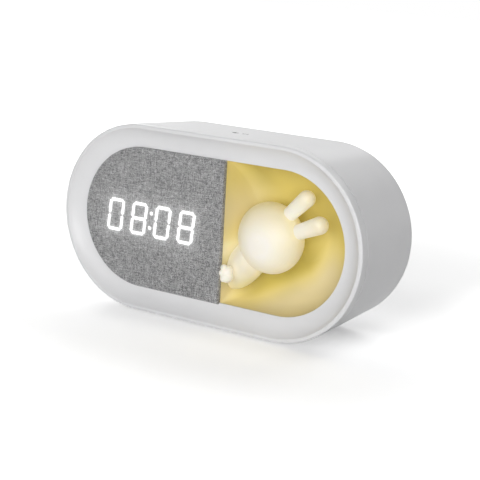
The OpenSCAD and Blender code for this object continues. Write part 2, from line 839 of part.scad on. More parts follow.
// Foot with three toes that reaches out to the panel's edge
module rabbit_foot() {
    color(cream) difference() {
        union() {
            for (s = [-1, 1]) at(paw_depth) translate([paw_x, paw_z + s * paw_tall]) sphere(paw_r);
            for (i = [-1, 0, 1]) {
                at(toe_depth) translate([toe_x + abs(i) * 0.9, toe_z + i * toe_step]) sphere(toe_r);
            }
        }
        torso(0.02);
    }
}

module lamp_board() {
    color(inner_white) difference() {
        block([lamp_x, lamp_z], [lamp_board_w, lamp_board_h], lamp_face, lamp_face + board_t);
        for (p = lamp_posts) pin(lamp_place(p), small_screw_r + fit, lamp_face - 1, lamp_face + board_t + 1);
    }
}

// Five chips in the head's neck and one in the body's
module lamp_leds() {
    color([1, 0.85, 0.45]) {
        block([head_x, -head_drop], [lamp_chip, lamp_chip], lamp_face - led_t, lamp_face);
        for (a = [0 : 90 : 270]) {
            block([head_x, -head_drop] + lamp_chip_ring * [cos(a), sin(a)], [lamp_chip, lamp_chip],
                lamp_face - led_t, lamp_face);
        }
        block(torso_neck, [lamp_chip, lamp_chip], lamp_face - led_t, lamp_face);
    }
}

module lamp_screws() {
    color(steel) for (p = lamp_posts) {
        screw(lamp_place(p), small_screw_r, small_head_r, bowl_back - 0.4, lamp_face + board_t, true);
    }
}

/* ---- Casing ---- */

// Tapering sleeve with lugs for the front screws, a ledge and posts for the cover, and foot sockets
module rear_casing() {
    color(shell_white) difference() {
        union() {
            swept() polygon(concat(
                [[outer_r(seam) - wall, seam], [outer_r(seam), seam]],
                arc([back_r - back_round, straight_d], back_round, back_round, 0, 90, 8),
                [[cover_r + fit, body_d], [cover_r + fit, cover_seat], [ledge_r, cover_seat],
                [ledge_r, cover_seat - wall], [outer_r(cover_seat - wall) - wall, cover_seat - wall]]));
            for (p = front_screws_at) lug(p);
            for (p = cover_screws_at) {
                pin(p, post_r, cover_seat - post_len, cover_seat);
                spoke(p, 3, cover_screw_ring, cover_seat - post_len, cover_seat - wall);
            }
        }
        for (p = front_screws_at) pin(p, screw_r + pass, frame_back - 1, lug_back + 1);
        for (p = cover_screws_at) pin(p, screw_r + snug, cover_seat - post_len + 2, cover_seat + 1);
        feet(fit / 2);
        touch_shape(0.01);
    }
}

// Direction outwards from the spine at a place
function outwards(p) = abs(p[0]) > spine ? unit(p - [sign(p[0]) * spine, 0]) : [0, sign(p[1])];

// Web from a place on a ring to the inside of the casing's wall
module spoke(p, w, ring, from, to) {
    out = outwards(p);
    len = outer_r(to) - wall / 2 - ring;
    plate(from, to) translate(p) rotate(atan2(out[1], out[0])) translate([0, -w / 2]) square([len, w]);
}

module lug(p) {
    pin(p, lug_r, frame_back, lug_back);
    spoke(p, 2 * lug_r, front_screw_ring, frame_back, lug_back);
}

// Feet at the bottom, front and back, each as tall as the tapering casing needs
module feet(grow) {
    for (s = [-1, 1], depth = [ring_back + foot_r + 3, body_d - back_round - foot_r - 3]) {
        translate([s * (spine - foot_r - 1), depth - body_d / 2, 0]) {
            cylinder(r = foot_r + grow, h = mid_z - outer_r(depth) + foot_socket);
        }
    }
}

module rubber_feet() {
    color(mid_grey) feet(0);
}

// Printed mark over the touch key: a crescent and a small ring
module touch_shape(out) {
    on_top(touch_x, touch_depth) translate([0, 0, -0.25]) linear_extrude(0.25 + out) {
        translate([-2.6, 0]) difference() {
            circle(2.6);
            translate([1.2, 0.9]) circle(2.2);
        }
        translate([2.7, 0]) difference() {
            circle(1.7);
            circle(1.1);
        }
    }
}

module touch_mark() {
    color(dark) touch_shape(0);
}

// Copper pad on the inside of the casing's top
module touch_pad() {
    color(copper) on_top(touch_x, touch_depth) translate([0, 0, -wall * cos(draft) - pad_t / 2]) {
        cube([pad_w, pad_d, pad_t], center = true);
    }
}

module touch_lead() {
    color(dark) lead(touch_route, lead_r, [1, 0, 0]);
}

/* ---- Battery ---- */

// Tray screwed to the frame, with end walls and two saddles round the cell
module battery_holder() {
    floor_back = frame_back + holder_t;
    color(dark) difference() {
        union() {
            block([cell_x, -cell_drop], [2 * holder_half + 2 * holder_t, cell_dia], frame_back, floor_back);
            for (s = [-1, 1]) {
                block([cell_x + s * (holder_half + holder_t / 2), -cell_drop], [holder_t, cell_dia],
                    frame_back, holder_end_top);
                block([cell_x + s * cell_len / 4, -cell_drop], [saddle_w, cell_dia + 2 * holder_t],
                    frame_back, saddle_top);
            }
        }
        cell(fit / 2, holder_half);
        for (p = holder_screws_at) pin(p, small_screw_r + fit, frame_back - 1, floor_back + 1);
    }
}

module cell(grow, half) {
    translate([cell_x - half, cell_depth - body_d / 2, mid_z - cell_drop]) rotate([0, 90, 0]) {
        cylinder(r = cell_r + grow, h = 2 * half);
    }
}

module battery_cell() {
    color([0.2, 0.45, 0.65]) cell(0, cell_len / 2);
}

// Spot-welded tabs that stand out past the holder's end walls, where the leads are soldered
module battery_contacts() {
    color(steel) for (s = [-1, 1]) {
        block([cell_x + s * (cell_len + contact_t) / 2, -cell_drop], [contact_t, contact_w],
            cell_depth - cell_r / 2, cell_depth + cell_r - 1);
    }
}

// One lead from each end of the cell to its plug on the rear board
module battery_leads() {
    color(red) lead(plus_route, lead_r, [1, 0, 0]);
    color(dark) lead(minus_route, lead_r, [0, 0, 1]);
}

module holder_screws() {
    color(steel) for (p = holder_screws_at) {
        screw(p, small_screw_r, small_head_r, ring_back + 0.8, frame_back + holder_t, true);
    }
}

/* ---- Rear cover and its electronics ---- */

// Plate in the casing's rim, with grille, key holes, slider slot, socket opening and inner posts
module rear_cover() {
    color(shell_white) difference() {
        union() {
            oblong(cover_r, cover_seat, cover_face);
            for (p = square_corners) {
                pin(board_place(p), board_post_r, board_face, cover_seat);
                pin(speaker_place(p), board_post_r, speaker_face, cover_seat);
            }
        }
        for (p = cover_screws_at) {
            pin(p, screw_r + pass, cover_seat - 1, cover_face + 1);
            pin(p, head_of_screw_r + pass, cover_face - screw_head_t, cover_face + 1);
        }
        for (p = square_corners) {
            pin(board_place(p), small_screw_r + snug, board_face - 1, cover_seat + 0.4);
            pin(speaker_place(p), small_screw_r + snug, speaker_face - 1, cover_seat + 1.2);
        }
        for (i = [0 : 3]) pin(key_place(i), key_r + fit, cover_seat - 1, cover_face + 1);
        block([slider_x + slider_travel / 2, low_row_z], [grip_w + slider_travel, grip_h] + [2, 2] * fit,
            cover_seat - 1, cover_face + 1);
        socket_bar([usb_x, low_row_z], usb_w + 2 * pass, usb_h + 2 * pass, cover_seat - 1, cover_face + 1);
        pin([reset_x, low_row_z], reset_r, cover_seat - 1, cover_face + 1);
        pin([-speaker_x, speaker_z], grille_hole_r, cover_seat - 1, cover_face + 1);
        for (ring = [1 : grille_rings], i = [0 : 6 * ring - 1]) {
            pin([-speaker_x, speaker_z] + ring * grille_pitch * [cos(60 * i / ring), sin(60 * i / ring)],
                grille_hole_r, cover_seat - 1, cover_face + 1);
        }
    }
}

function board_place(p) = [board_x + p[0] * (board_w / 2 - 3), board_z + p[1] * (board_h / 2 - 3)];
function speaker_place(p) = [-speaker_x, speaker_z] + speaker_hole * p;
function key_place(i) = [key_x0 + i * key_pitch, key_z];

// Bar with half-round ends along the depth
module socket_bar(place, w, h, from, to) {
    for (s = [-1, 1]) pin(place + [s * (w - h) / 2, 0], h / 2, from, to);
    block(place, [w - h, h], from, to);
}

module cover_screws() {
    color(steel) for (p = cover_screws_at) {
        screw(p, screw_r, head_of_screw_r, cover_seat - 6, cover_face - screw_head_t, true);
    }
}

module rear_board() {
    color(board_green) difference() {
        block([board_x, board_z], [board_w, board_h], board_front, board_face);
        for (p = square_corners) pin(board_place(p), small_screw_r + fit, board_front - 1, board_face + 1);
    }
}

module board_screws() {
    color(steel) for (p = square_corners) {
        screw(board_place(p), small_screw_r, small_head_r, board_front, cover_seat, false);
    }
}

// Clock chip, driver and charger on the board's front
module board_chips() {
    color(dark) for (c = chips) {
        block([board_x + c[0], board_z + c[1]], [c[2], c[3]], board_front - c[4], board_front);
    }
}

// Plug housings, each with a well for its two leads
module board_connectors() {
    color([0.92, 0.9, 0.84]) for (p = [speaker_plug, battery_plug, lamp_plug]) difference() {
        block(p, [plug_w, plug_h], board_front - plug_t, board_front);
        socket_bar(p, plug_w - 1.4, plug_h - 1.4, board_front - plug_t - 1, plug_in + 0.2);
    }
}

// Housings of the four key switches, each with a well for its plunger
module key_switches() {
    color(dark) for (i = [0 : 3]) difference() {
        block(key_place(i), [switch_w, switch_w], board_face, board_face + switch_t);
        pin(key_place(i), plunger_r + fit, board_face + switch_floor, board_face + switch_t + 1);
    }
}

// Key: a round cap through the cover, a flange behind it and a plunger into its switch
module key(i) {
    flange_back = cover_seat - fit / 2;
    color(mid_grey) {
        pin(key_place(i), key_r, flange_back, cover_face + key_proud);
        pin(key_place(i), key_flange_r, flange_back - key_flange_t, flange_back);
        pin(key_place(i), plunger_r, board_face + switch_floor + key_travel + fit,
            flange_back - key_flange_t);
    }
}

module key_set() {
    key(0);
}

module key_up() {
    key(1);
}

module key_down() {
    key(2);
}

module key_alarm() {
    key(3);
}

module power_switch() {
    color(steel) difference() {
        block([slider_x + slider_travel / 2, low_row_z], [9.6, 5], board_face, board_face + switch_t);
        block([slider_x + slider_travel / 2, low_row_z], [slider_travel + stem_w, stem_w] + [2, 2] * fit,
            board_face + switch_floor, board_face + switch_t + 1);
    }
}

// Slider: a ribbed grip in the cover's slot, a shutter behind it and a stem into the switch
module power_slider() {
    shutter_back = cover_seat - fit / 2;
    color(mid_grey) {
        block([slider_x, low_row_z], [grip_w, grip_h], shutter_back, cover_face);
        for (x = [-1, 0, 1]) {
            block([slider_x + x * grip_w / 3, low_row_z], [grip_w / 6, grip_h], cover_face, cover_face + 0.4);
        }
        block([slider_x, low_row_z], [grip_w + 2 * slider_travel + 1, grip_h + 2],
            shutter_back - shutter_t, shutter_back);
        block([slider_x, low_row_z], [stem_w, stem_w],
            board_face + switch_floor + fit, shutter_back - shutter_t);
    }
}

// Metal shell of the charging socket with its tongue
module usb_socket() {
    color(steel) {
        difference() {
            socket_bar([usb_x, low_row_z], usb_w, usb_h, board_face, cover_face - 0.4);
            socket_bar([usb_x, low_row_z], usb_w - 0.6, usb_h - 0.6, board_face + 0.8, cover_face);
        }
        block([usb_x, low_row_z], [usb_w - 2.4, 0.7], board_face + 0.4, cover_face - 1.4);
    }
}

/* ---- Speaker ---- */

// Pressed basket: a square flange, a cone-shaped wall and a seat for the magnet
module speaker_frame() {
    color(steel) difference() {
        union() {
            block([-speaker_x, speaker_z], [speaker_w, speaker_w],
                speaker_face - speaker_flange_t, speaker_face);
            turned([-speaker_x, speaker_z]) polygon([[0, basket_back], [magnet_r, basket_back],
                [cone_r + 2 * can_wall, speaker_face - cone_drop - can_wall],
                [cone_r + 2 * can_wall, speaker_face], [0, speaker_face]]);
        }
        turned([-speaker_x, speaker_z]) polygon([[0, basket_back + can_wall],
            [magnet_r - can_wall, basket_back + can_wall], [cone_r + can_wall, speaker_face - cone_drop],
            [cone_r + can_wall, speaker_face + 1], [0, speaker_face + 1]]);
        for (p = square_corners) pin(speaker_place(p), small_screw_r + fit, speaker_face - 2, speaker_face + 1);
    }
}

module speaker_magnet() {
    color(dark) pin([-speaker_x, speaker_z], magnet_r, basket_back - magnet_t, basket_back);
}

// Paper cone with a rolled edge, a dust cap and the coil's bobbin on the basket's floor
module speaker_cone() {
    floor_d = basket_back + can_wall;
    bobbin_r = magnet_r / 2;
    roll = [cone_r - 1.1, speaker_face - cone_drop + 0.4];
    color(mid_grey) turned([-speaker_x, speaker_z]) polygon(concat(
        [[bobbin_r - paper_t, floor_d], [bobbin_r, floor_d], [bobbin_r, floor_d + 3],
        [roll[0] - 1.5, roll[1] - paper_t]],
        arc(roll, 1.5, 1.5, 180, 360, 8),
        [[cone_r + can_wall, roll[1]], [cone_r + can_wall, roll[1] + 1], [roll[0] + 0.9, roll[1] + 1]],
        arc(roll, 0.9, 0.9, 360, 180, 8),
        [[roll[0] - 1.5, roll[1] + 0.3], [bobbin_r, floor_d + 3 + paper_t], [0, floor_d + 5 + paper_t],
        [0, floor_d + 5], [bobbin_r - paper_t, floor_d + 3]]));
}

module speaker_gasket() {
    color(dark) difference() {
        pin([-speaker_x, speaker_z], cone_r + 2 * can_wall, speaker_face, cover_seat);
        pin([-speaker_x, speaker_z], cone_r - 0.6, speaker_face - 1, cover_seat + 1);
    }
}

module speaker_screws() {
    color(steel) for (p = square_corners) {
        screw(speaker_place(p), small_screw_r, small_head_r, speaker_face - speaker_flange_t,
            cover_seat + 1, false);
    }
}

module speaker_leads() {
    color(red) lead_twins(speaker_route, [0, 0, lead_pair / 2], [0, 0, 1]);
}

/* ---- Other leads ---- */

module lamp_leads() {
    color(red) lead_twins(lamp_route, [lead_pair / 2, 0, 0], [1, 0, 0]);
}

// Flat cable in a soft bend from the display board to the rear board
module display_ribbon() {
    start = reflector_back + board_t;
    run = board_front - start;
    side = [for (i = [0 : 16]) [start + run * i / 16, ribbon_z + ribbon_bend * sin(180 * i / 16)]];
    color(mid_grey) translate([ribbon_x - ribbon_w / 2, -body_d / 2, mid_z]) rotate([90, 0, 90]) {
        linear_extrude(ribbon_w) polygon(concat(side, [for (i = [16 : -1 : 0]) side[i] - [0, ribbon_t]]));
    }
}

front_bezel();
front_frame();
front_screws();
fabric_panel();
panel_carrier();
display_reflector();
digit_segments();
colon_dots();
display_leds();
display_board();
display_screws();
night_light_bowl();
rabbit_head();
rabbit_ears();
rabbit_body();
rabbit_foot();
lamp_board();
lamp_leds();
lamp_screws();
rear_casing();
rubber_feet();
touch_mark();
touch_pad();
touch_lead();
battery_holder();
battery_cell();
battery_contacts();
battery_leads();
holder_screws();
rear_cover();
cover_screws();
rear_board();
board_screws();
board_chips();
board_connectors();
key_switches();
key_set();
key_up();
key_down();
key_alarm();
power_switch();
power_slider();
usb_socket();
speaker_frame();
speaker_magnet();
speaker_cone();
speaker_gasket();
speaker_screws();
speaker_leads();
lamp_leads();
display_ribbon();
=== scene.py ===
# %% [markdown]
# # A bedside clock with a cloth display and a night light
#
# This lesson dresses a finished set of solid parts. The solids give every size and every moving
# piece. What is left for Blender is what the eye enjoys: a woven cloth that light shines through,
# a soft yellow scoop, a glowing rabbit, and satin white plastic round them all.

import bmesh
import bpy
import numpy as np
from mathutils import Matrix, Vector


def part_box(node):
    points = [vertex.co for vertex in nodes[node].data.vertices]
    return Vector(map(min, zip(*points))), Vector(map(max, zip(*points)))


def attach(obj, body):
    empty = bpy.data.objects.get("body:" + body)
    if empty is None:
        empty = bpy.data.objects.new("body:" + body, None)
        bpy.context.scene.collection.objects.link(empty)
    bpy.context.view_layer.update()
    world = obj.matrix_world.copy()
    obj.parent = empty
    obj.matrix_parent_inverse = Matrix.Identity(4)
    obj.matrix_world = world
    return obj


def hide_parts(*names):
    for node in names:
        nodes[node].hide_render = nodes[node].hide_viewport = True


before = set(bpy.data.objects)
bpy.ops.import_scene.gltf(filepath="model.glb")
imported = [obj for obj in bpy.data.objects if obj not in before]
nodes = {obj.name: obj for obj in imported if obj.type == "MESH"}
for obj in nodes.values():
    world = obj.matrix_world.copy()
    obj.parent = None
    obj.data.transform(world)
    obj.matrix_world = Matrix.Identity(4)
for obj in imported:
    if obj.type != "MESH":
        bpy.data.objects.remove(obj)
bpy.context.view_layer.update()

print("parts:", len(nodes))

# %% [markdown]
# ## Sizes that everything else follows
#
# The clock is an oblong: a rectangle with half-round ends. The line between the middles of the two
# ends is its spine, and "radius" here means the distance from that spine. The sizes are read off
# the parts' own boxes, so that a surface made here always meets the solids that it dresses.

# %% Sizes read off the parts
MM = 0.001
ring_low, ring_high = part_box("front_bezel")
big_r = (ring_high.z - ring_low.z) / 2
spine = (ring_high.x - ring_low.x) / 2 - big_r
mid_z = (ring_high.z + ring_low.z) / 2
lip_y = ring_low.y
panel_low, panel_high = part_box("fabric_panel")
panel_right = panel_high.x
panel_r = (panel_high.z - panel_low.z) / 2
panel_z = (panel_high.z + panel_low.z) / 2
panel_y = panel_low.y
print("outer radius", round(big_r / MM, 2), "spine", round(spine / MM, 2), "middle", round(mid_z / MM, 2))

# %% [markdown]
# ## Helpers for surfaces
#
# Every new surface below is a grid of points worked out in one go with numpy. One helper numbers the
# corners of such a grid, closing it across its first and last row or column where the shape runs
# round, and one makes a mesh of it. The others give the points along an arc, store a value at every
# point for a finish to read, and give a sheet its thickness.

# %% Grid to mesh
def grid_faces(rows, columns, close_rows=False, close_columns=False, first=0):
    """Corner numbers of a grid's four-sided faces: each joins a point to the next in its row and column."""
    down = np.arange(rows if close_rows else rows - 1)[:, None]
    across = np.arange(columns if close_columns else columns - 1)[None, :]
    below, beside = (down + 1) % rows, (across + 1) % columns
    corners = np.stack([down * columns + across, down * columns + beside,
        below * columns + beside, below * columns + across], axis=-1)
    return corners.reshape(-1, 4) + first


def make_piece(name, points, faces, sharp=40):
    """Mesh object at the origin, smooth apart from edges sharper than an angle in degrees."""
    mesh = bpy.data.meshes.new(name)
    corners = [list(map(int, face)) for face in faces]
    mesh.from_pydata(np.asarray(points, float).reshape(-1, 3).tolist(), [], corners)
    mesh.update()
    mesh.shade_smooth()
    mesh.set_sharp_from_angle(angle=np.radians(sharp))
    piece = bpy.data.objects.new(name, mesh)
    bpy.context.scene.collection.objects.link(piece)
    return piece


def arc(middle, radius, start, end, steps):
    """Points round a middle at a radius, from one angle to another in degrees."""
    turn = np.radians(np.linspace(start, end, steps + 1))
    return np.array(middle) + radius * np.stack([np.cos(turn), np.sin(turn)], axis=-1)


def mark_points(piece, name, kind, values):
    """Stores a number, or a colour for the kind FLOAT_COLOR, at every point of a piece."""
    layer = piece.data.attributes.new(name, kind, "POINT")
    field = "color" if kind == "FLOAT_COLOR" else "value"
    layer.data.foreach_set(field, np.asarray(values, np.float32).ravel())


def thicken(piece, name, thickness):
    """Gives a sheet its thickness, behind the side that is seen."""
    skin = piece.modifiers.new(name, "SOLIDIFY")
    skin.thickness = thickness
    skin.offset = -1

# %% [markdown]
# A ring is made by carrying a cross-section round the oblong, as a potter's profile is carried round
# a wheel, but along a track with two straight sides.

# %% Round the oblong
def oblong_track(round_steps=96, straight_steps=12):
    """Stations of the track: where on the spine each lies, and the way outwards from it there.
    The way turns half round each end and stays still along the straights."""
    turn = np.radians(np.linspace(-90, 90, round_steps, endpoint=False))
    along = np.linspace(spine, -spine, straight_steps, endpoint=False)
    middle = np.concatenate([np.full(round_steps, spine), along, np.full(round_steps, -spine), -along])
    outwards = np.concatenate([turn, np.full(straight_steps, np.pi / 2),
        turn + np.pi, np.full(straight_steps, 1.5 * np.pi)])
    return middle, outwards


def swept(name, profile):
    """Closed ring: the place is the spine point, plus the profile's radius outwards, plus its depth behind
    the lip."""
    middle, outwards = oblong_track()
    radius, depth = profile[:, 0][None, :], profile[:, 1][None, :]
    x = middle[:, None] + radius * np.cos(outwards)[:, None]
    z = mid_z + radius * np.sin(outwards)[:, None]
    y = np.broadcast_to(lip_y + depth, x.shape)
    points = np.stack([x, y, z], axis=-1)
    faces = grid_faces(len(middle), len(profile), close_rows=True, close_columns=True)
    return make_piece(name, points, faces)

# %% [markdown]
# ## The language of the finishes
#
# A finish in Blender is a small network of nodes. The helpers here keep the networks short: one
# starts a material, one adds a node and fills its sockets, one feeds what comes out to the shader,
# and one gives the place of a point on the object. Every pattern reads that place, so it stays put
# on the plastic when the view moves. The rest are the sums and patterns that the finishes share.

# %% Helpers for materials
def start_material(name, colour=(0.8, 0.8, 0.8), rough=0.5, **sockets):
    """Material with its main shader set: a plain colour, a roughness and any other socket by its name."""
    material = bpy.data.materials.new(name)
    material.use_nodes = True
    shader = material.node_tree.nodes["Principled BSDF"]
    shader.inputs["Base Color"].default_value = (*colour, 1)
    shader.inputs["Roughness"].default_value = rough
    for socket, value in sockets.items():
        shader.inputs[socket.replace("_", " ")].default_value = value
    return material, material.node_tree, shader


def add_node(tree, kind, settings=None, **sockets):
    """New node, with its settings, and its sockets filled with a number or joined to another's output."""
    node = tree.nodes.new("ShaderNode" + kind)
    for name, value in (settings or {}).items():
        setattr(node, name, value)
    for name, value in sockets.items():
        key = int(name[1:]) if name[0] == "i" and name[1:].isdigit() else name.replace("_", " ")
        if isinstance(value, bpy.types.NodeSocket):
            tree.links.new(value, node.inputs[key])
        else:
            node.inputs[key].default_value = value
    return node


def feed(tree, shader, **outputs):
    """Joins outputs of nodes to the shader's sockets, each by the socket's name."""
    for socket, output in outputs.items():
        tree.links.new(output, shader.inputs[socket.replace("_", " ")])


def sums(tree, operation, *terms):
    """Output of a chain of one sum, such as ADD or MULTIPLY, over numbers and sockets."""
    made = terms[0]
    for term in terms[1:]:
        made = add_node(tree, "Math", {"operation": operation}, i0=made, i1=term).outputs[0]
    return made


def vectors(tree, operation, *terms):
    """Output of one sum over vectors: a number for a length or a dot product, and a vector for others."""
    sockets = {f"i{number}": term for number, term in enumerate(terms)}
    node = add_node(tree, "VectorMath", {"operation": operation}, **sockets)
    return node.outputs["Value" if operation in ("LENGTH", "DOT_PRODUCT") else "Vector"]


def place_on(tree):
    """Where a point lies on the object, in metres."""
    return add_node(tree, "TexCoord").outputs["Object"]


def speckle(tree, size, detail=2, place=None):
    """Cloudy noise from 0 to 1 whose blots are about one size across, in metres."""
    where = place_on(tree) if place is None else place
    return add_node(tree, "TexNoise", Vector=where, Scale=1 / size, Detail=detail).outputs["Fac"]


def tones(tree, value, *stops):
    """Colours along a value from 0 to 1, from pairs of a place and a colour."""
    ramp = add_node(tree, "ValToRGB", Fac=value)
    while len(ramp.color_ramp.elements) < len(stops):
        ramp.color_ramp.elements.new(0.5)
    for element, (place, colour) in zip(ramp.color_ramp.elements, stops):
        element.position = place
        element.color = (*colour, 1)
    return ramp.outputs["Color"]


def spread(tree, value, low, high):
    """A value from 0 to 1 laid out between two limits."""
    return add_node(tree, "MapRange", Value=value, To_Min=low, To_Max=high).outputs["Result"]


def soft_step(tree, value, start, end, height):
    """0 until a value reaches its start, then a soft rise to a height at its end."""
    return add_node(tree, "MapRange", {"interpolation_type": "SMOOTHSTEP"}, Value=value,
        From_Min=start, From_Max=end, To_Max=height).outputs["Result"]


def relief(tree, shader, height, depth):
    """Lets a height from 0 to 1 stand out of the surface by a depth in metres."""
    bump = add_node(tree, "Bump", Height=height, Strength=1.0, Distance=depth)
    feed(tree, shader, Normal=bump.outputs["Normal"])


def finish_with(material, *names):
    """Gives solids their finish, each by its name."""
    for name in names:
        mesh = nodes[name].data
        mesh.materials.clear()
        mesh.materials.append(material)

# %% [markdown]
# ## Moulded plastic
#
# The shells are injection-moulded ABS. A mould's steel is spark-eroded, which leaves a very fine
# even grain on the plastic: it hardly shows as relief, but it turns a mirror into a satin sheen. So
# the finish is a pale colour with a small change of tone, a middling roughness that wanders a
# little, and a grain a third of a millimetre wide and a few thousandths deep.

# %% Moulded finishes
def moulded(name, colour, rough, grain=0.35 * MM, depth=0.004 * MM):
    """Plastic with a faint change of tone, a wandering sheen and an even grain."""
    material, tree, shader = start_material(name, colour, rough)
    cloud = speckle(tree, 30 * MM)
    paler = tuple(min(1, c * 1.012) for c in colour)
    darker = tuple(c * 0.985 for c in colour)
    feed(tree, shader, Base_Color=tones(tree, cloud, (0.3, darker), (0.7, paler)),
        Roughness=spread(tree, cloud, rough - 0.03, rough + 0.03))
    relief(tree, shader, speckle(tree, grain, 1), depth)
    return material


shell_white = moulded("Satin white shell", (0.86, 0.86, 0.87), 0.36)
inner_white = moulded("Plain inner moulding", (0.78, 0.78, 0.77), 0.5, grain=0.6 * MM)
key_grey = moulded("Grey key plastic", (0.5, 0.5, 0.52), 0.45)
black_plastic = moulded("Black plastic", (0.02, 0.02, 0.022), 0.42)
nylon_cream = moulded("Cream nylon plug", (0.74, 0.69, 0.55), 0.4)
foot_rubber = moulded("Grey foot rubber", (0.24, 0.24, 0.25), 0.82, grain=0.5 * MM, depth=0.02 * MM)
print("moulded finishes:", len(bpy.data.materials))

# %% [markdown]
# ## The front ring
#
# The ring is one moulding with a hollow slope that leads the eye into the clock. Its cross-section
# is drawn once, as straight lines and arcs, and carried round the oblong. The crest of the lip is
# narrow and softly rounded, because a mould can't hold a knife edge, and that small rounding is what
# draws the thin bright line round the face.

# %% Cross-section of the ring
ring_w = 12.5 * MM
crest_w = 1.3 * MM
lip_round = 0.8 * MM
slope_depth = 4.9 * MM
ring_side = 5.6 * MM
tongue_t = 1.4 * MM
tongue_inset = 2.666 * MM
tongue_back = 8.8 * MM
ring_back = 5.9 * MM
crest_round = 0.22 * MM
side_round = 0.2 * MM
edge_round = 0.25 * MM
mouth_r = big_r - ring_w


def fillet(corner, before, after, radius, steps=4):
    """Bend that rounds a corner off: start, corner and end in shares of the way left squared, twice the way
    left times the way come, and the way come squared."""
    corner, before, after = (np.array(p, float) for p in (corner, before, after))
    one = (before - corner) / np.linalg.norm(before - corner)
    two = (after - corner) / np.linalg.norm(after - corner)
    reach = radius / np.tan(np.arccos(np.clip(one @ two, -1, 1)) / 2)
    t = np.linspace(0, 1, steps + 1)[:, None]
    start, end = corner + one * reach, corner + two * reach
    return (1 - t) ** 2 * start + 2 * t * (1 - t) * corner + t ** 2 * end


def ring_profile():
    """Section as radius and depth: hollow slope up to the crest, rounded lip, plain side, tongue, and back.
    The tongue lies inside the casing by its wall, its taper and a slip fit."""
    slope_w = ring_w - lip_round - crest_w
    slope_r = (slope_w ** 2 + slope_depth ** 2) / (2 * slope_depth)
    top_turn = np.degrees(np.arcsin(slope_w / slope_r))
    slope = arc((mouth_r, slope_depth - slope_r), slope_r, 90, 90 - top_turn, 40)[2:-1]
    crest_in = fillet((mouth_r + slope_w, 0), slope[-1], (big_r - lip_round, 0), crest_round)
    lip = arc((big_r - lip_round, lip_round), lip_round, -90, 0, 10)
    tongue_out = big_r - tongue_inset
    side = fillet((big_r, ring_side), (big_r, 0), (tongue_out, ring_side), side_round)
    tongue = np.array([(tongue_out, ring_side), (tongue_out, tongue_back),
        (tongue_out - tongue_t, tongue_back), (tongue_out - tongue_t, ring_back), (mouth_r, ring_back)])
    edge = fillet((mouth_r, slope_depth), (mouth_r, ring_back), slope[0], edge_round)
    return np.concatenate([edge, slope, crest_in, lip[1:], side, tongue])


ring = swept("front_ring", ring_profile())
ring.data.materials.append(shell_white)
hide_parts("front_bezel")
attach(ring, "clock")
print("ring faces:", len(ring.data.polygons))

# %% [markdown]
# ## Cloth stretched over a board
#
# The display hides behind a grey linen-look cloth, folded over the edges of a stiff board. A plain
# weave has a warp and a weft that take turns on top. Each thread has its own grey, because the yarn
# is spun from a mixture of light and dark fibres, and each thickens and fades along its length. The
# light of the digits soaks into the cloth round them, so the places of the lit bars come first.

# %% Where the light bars are
def face_middle(low, high):
    """Middle of a box on the face, across and up."""
    return (low.x + high.x) / 2, (low.z + high.z) / 2


bars_low, bars_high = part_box("digit_segments")
display_x, display_z = face_middle(bars_low, bars_high)
digit_h = bars_high.z - bars_low.z
digit_w = 10.5 * MM
digit_pitch = 15.6 * MM
lean = np.tan(np.radians(6))
stroke = 1.9 * MM
lit_stroke = 1.5 * MM
bar_gap = 0.5 * MM
colon_rise = 4 * MM
colon_r = 0.88 * MM
colon_at = [(display_x + s * colon_rise * lean, display_z + s * colon_rise) for s in (-1, 1)]
lit_letters = ("abcdef", "abcdefg", "abcdef", "abcdefg")


def bar_ends(letter):
    """Ends of one bar about its digit's middle: a to d run clockwise from the top, g is the middle one."""
    x, z = (digit_w - stroke) / 2, (digit_h - stroke) / 2
    corners = {"a": ((-x, z), (x, z)), "b": ((x, z), (x, 0)), "c": ((x, 0), (x, -z)),
        "d": ((x, -z), (-x, -z)), "e": ((-x, -z), (-x, 0)), "f": ((-x, 0), (-x, z)), "g": ((-x, 0), (x, 0))}
    return np.array(corners[letter])


def lit_bars():
    """Ends of every lit bar on the face, leant to the right as the digits are."""
    ends = np.array([bar_ends(letter) + ((number - 1.5) * digit_pitch, 0)
        for number, letters in enumerate(lit_letters) for letter in letters])
    ends[..., 0] += ends[..., 1] * lean
    return ends + (display_x, display_z)


def bar_outline(ends):
    """Six corners round a bar: a point at each end, and half the lit stroke to each side a little further
    in. The points of an upright bar are longer, by its slant."""
    start, end = ends
    along = (end - start) / np.linalg.norm(end - start)
    flat = abs(along[1]) < 0.3
    aside = np.array([0.0, 1.0]) if flat else np.array([1.0, 0.0])
    slant = 1 if flat else 1 / abs(along[1])
    tip = along * bar_gap / 2
    shoulder = along * (bar_gap / 2 + lit_stroke / 2 * slant)
    half = aside * lit_stroke / 2
    return np.array([start + tip, start + shoulder + half, end - shoulder + half,
        end - tip, end - shoulder - half, start + shoulder - half])


def distance_to_bars(x, z):
    """How far points on the face lie outside the nearest lit bar: for each bar, the largest of the distances
    from the straight lines along its six sides."""
    place = np.stack([x, z], axis=-1)[:, None, None, :]
    corners = np.array([bar_outline(ends) for ends in lit_bars()])
    along = np.roll(corners, -1, axis=1) - corners
    out = np.stack([along[..., 1], -along[..., 0]], axis=-1) / np.linalg.norm(along, axis=-1, keepdims=True)
    out = out * np.sign(((corners - corners.mean(axis=1, keepdims=True)) * out).sum(-1, keepdims=True))
    return ((place - corners) * out).sum(-1).max(axis=2).min(axis=1)


print("lit bars:", len(lit_bars()), "display middle", round(display_x / MM, 2))

# %% [markdown]
# The cloth is a grid of points whose fold runs over the edge on an arc, with a map in metres that
# keeps the threads straight and unstretched over the fold. The grid is finer round the digits, where
# it has to carry the light: a bright narrow halo, and a thin veil that reaches further.

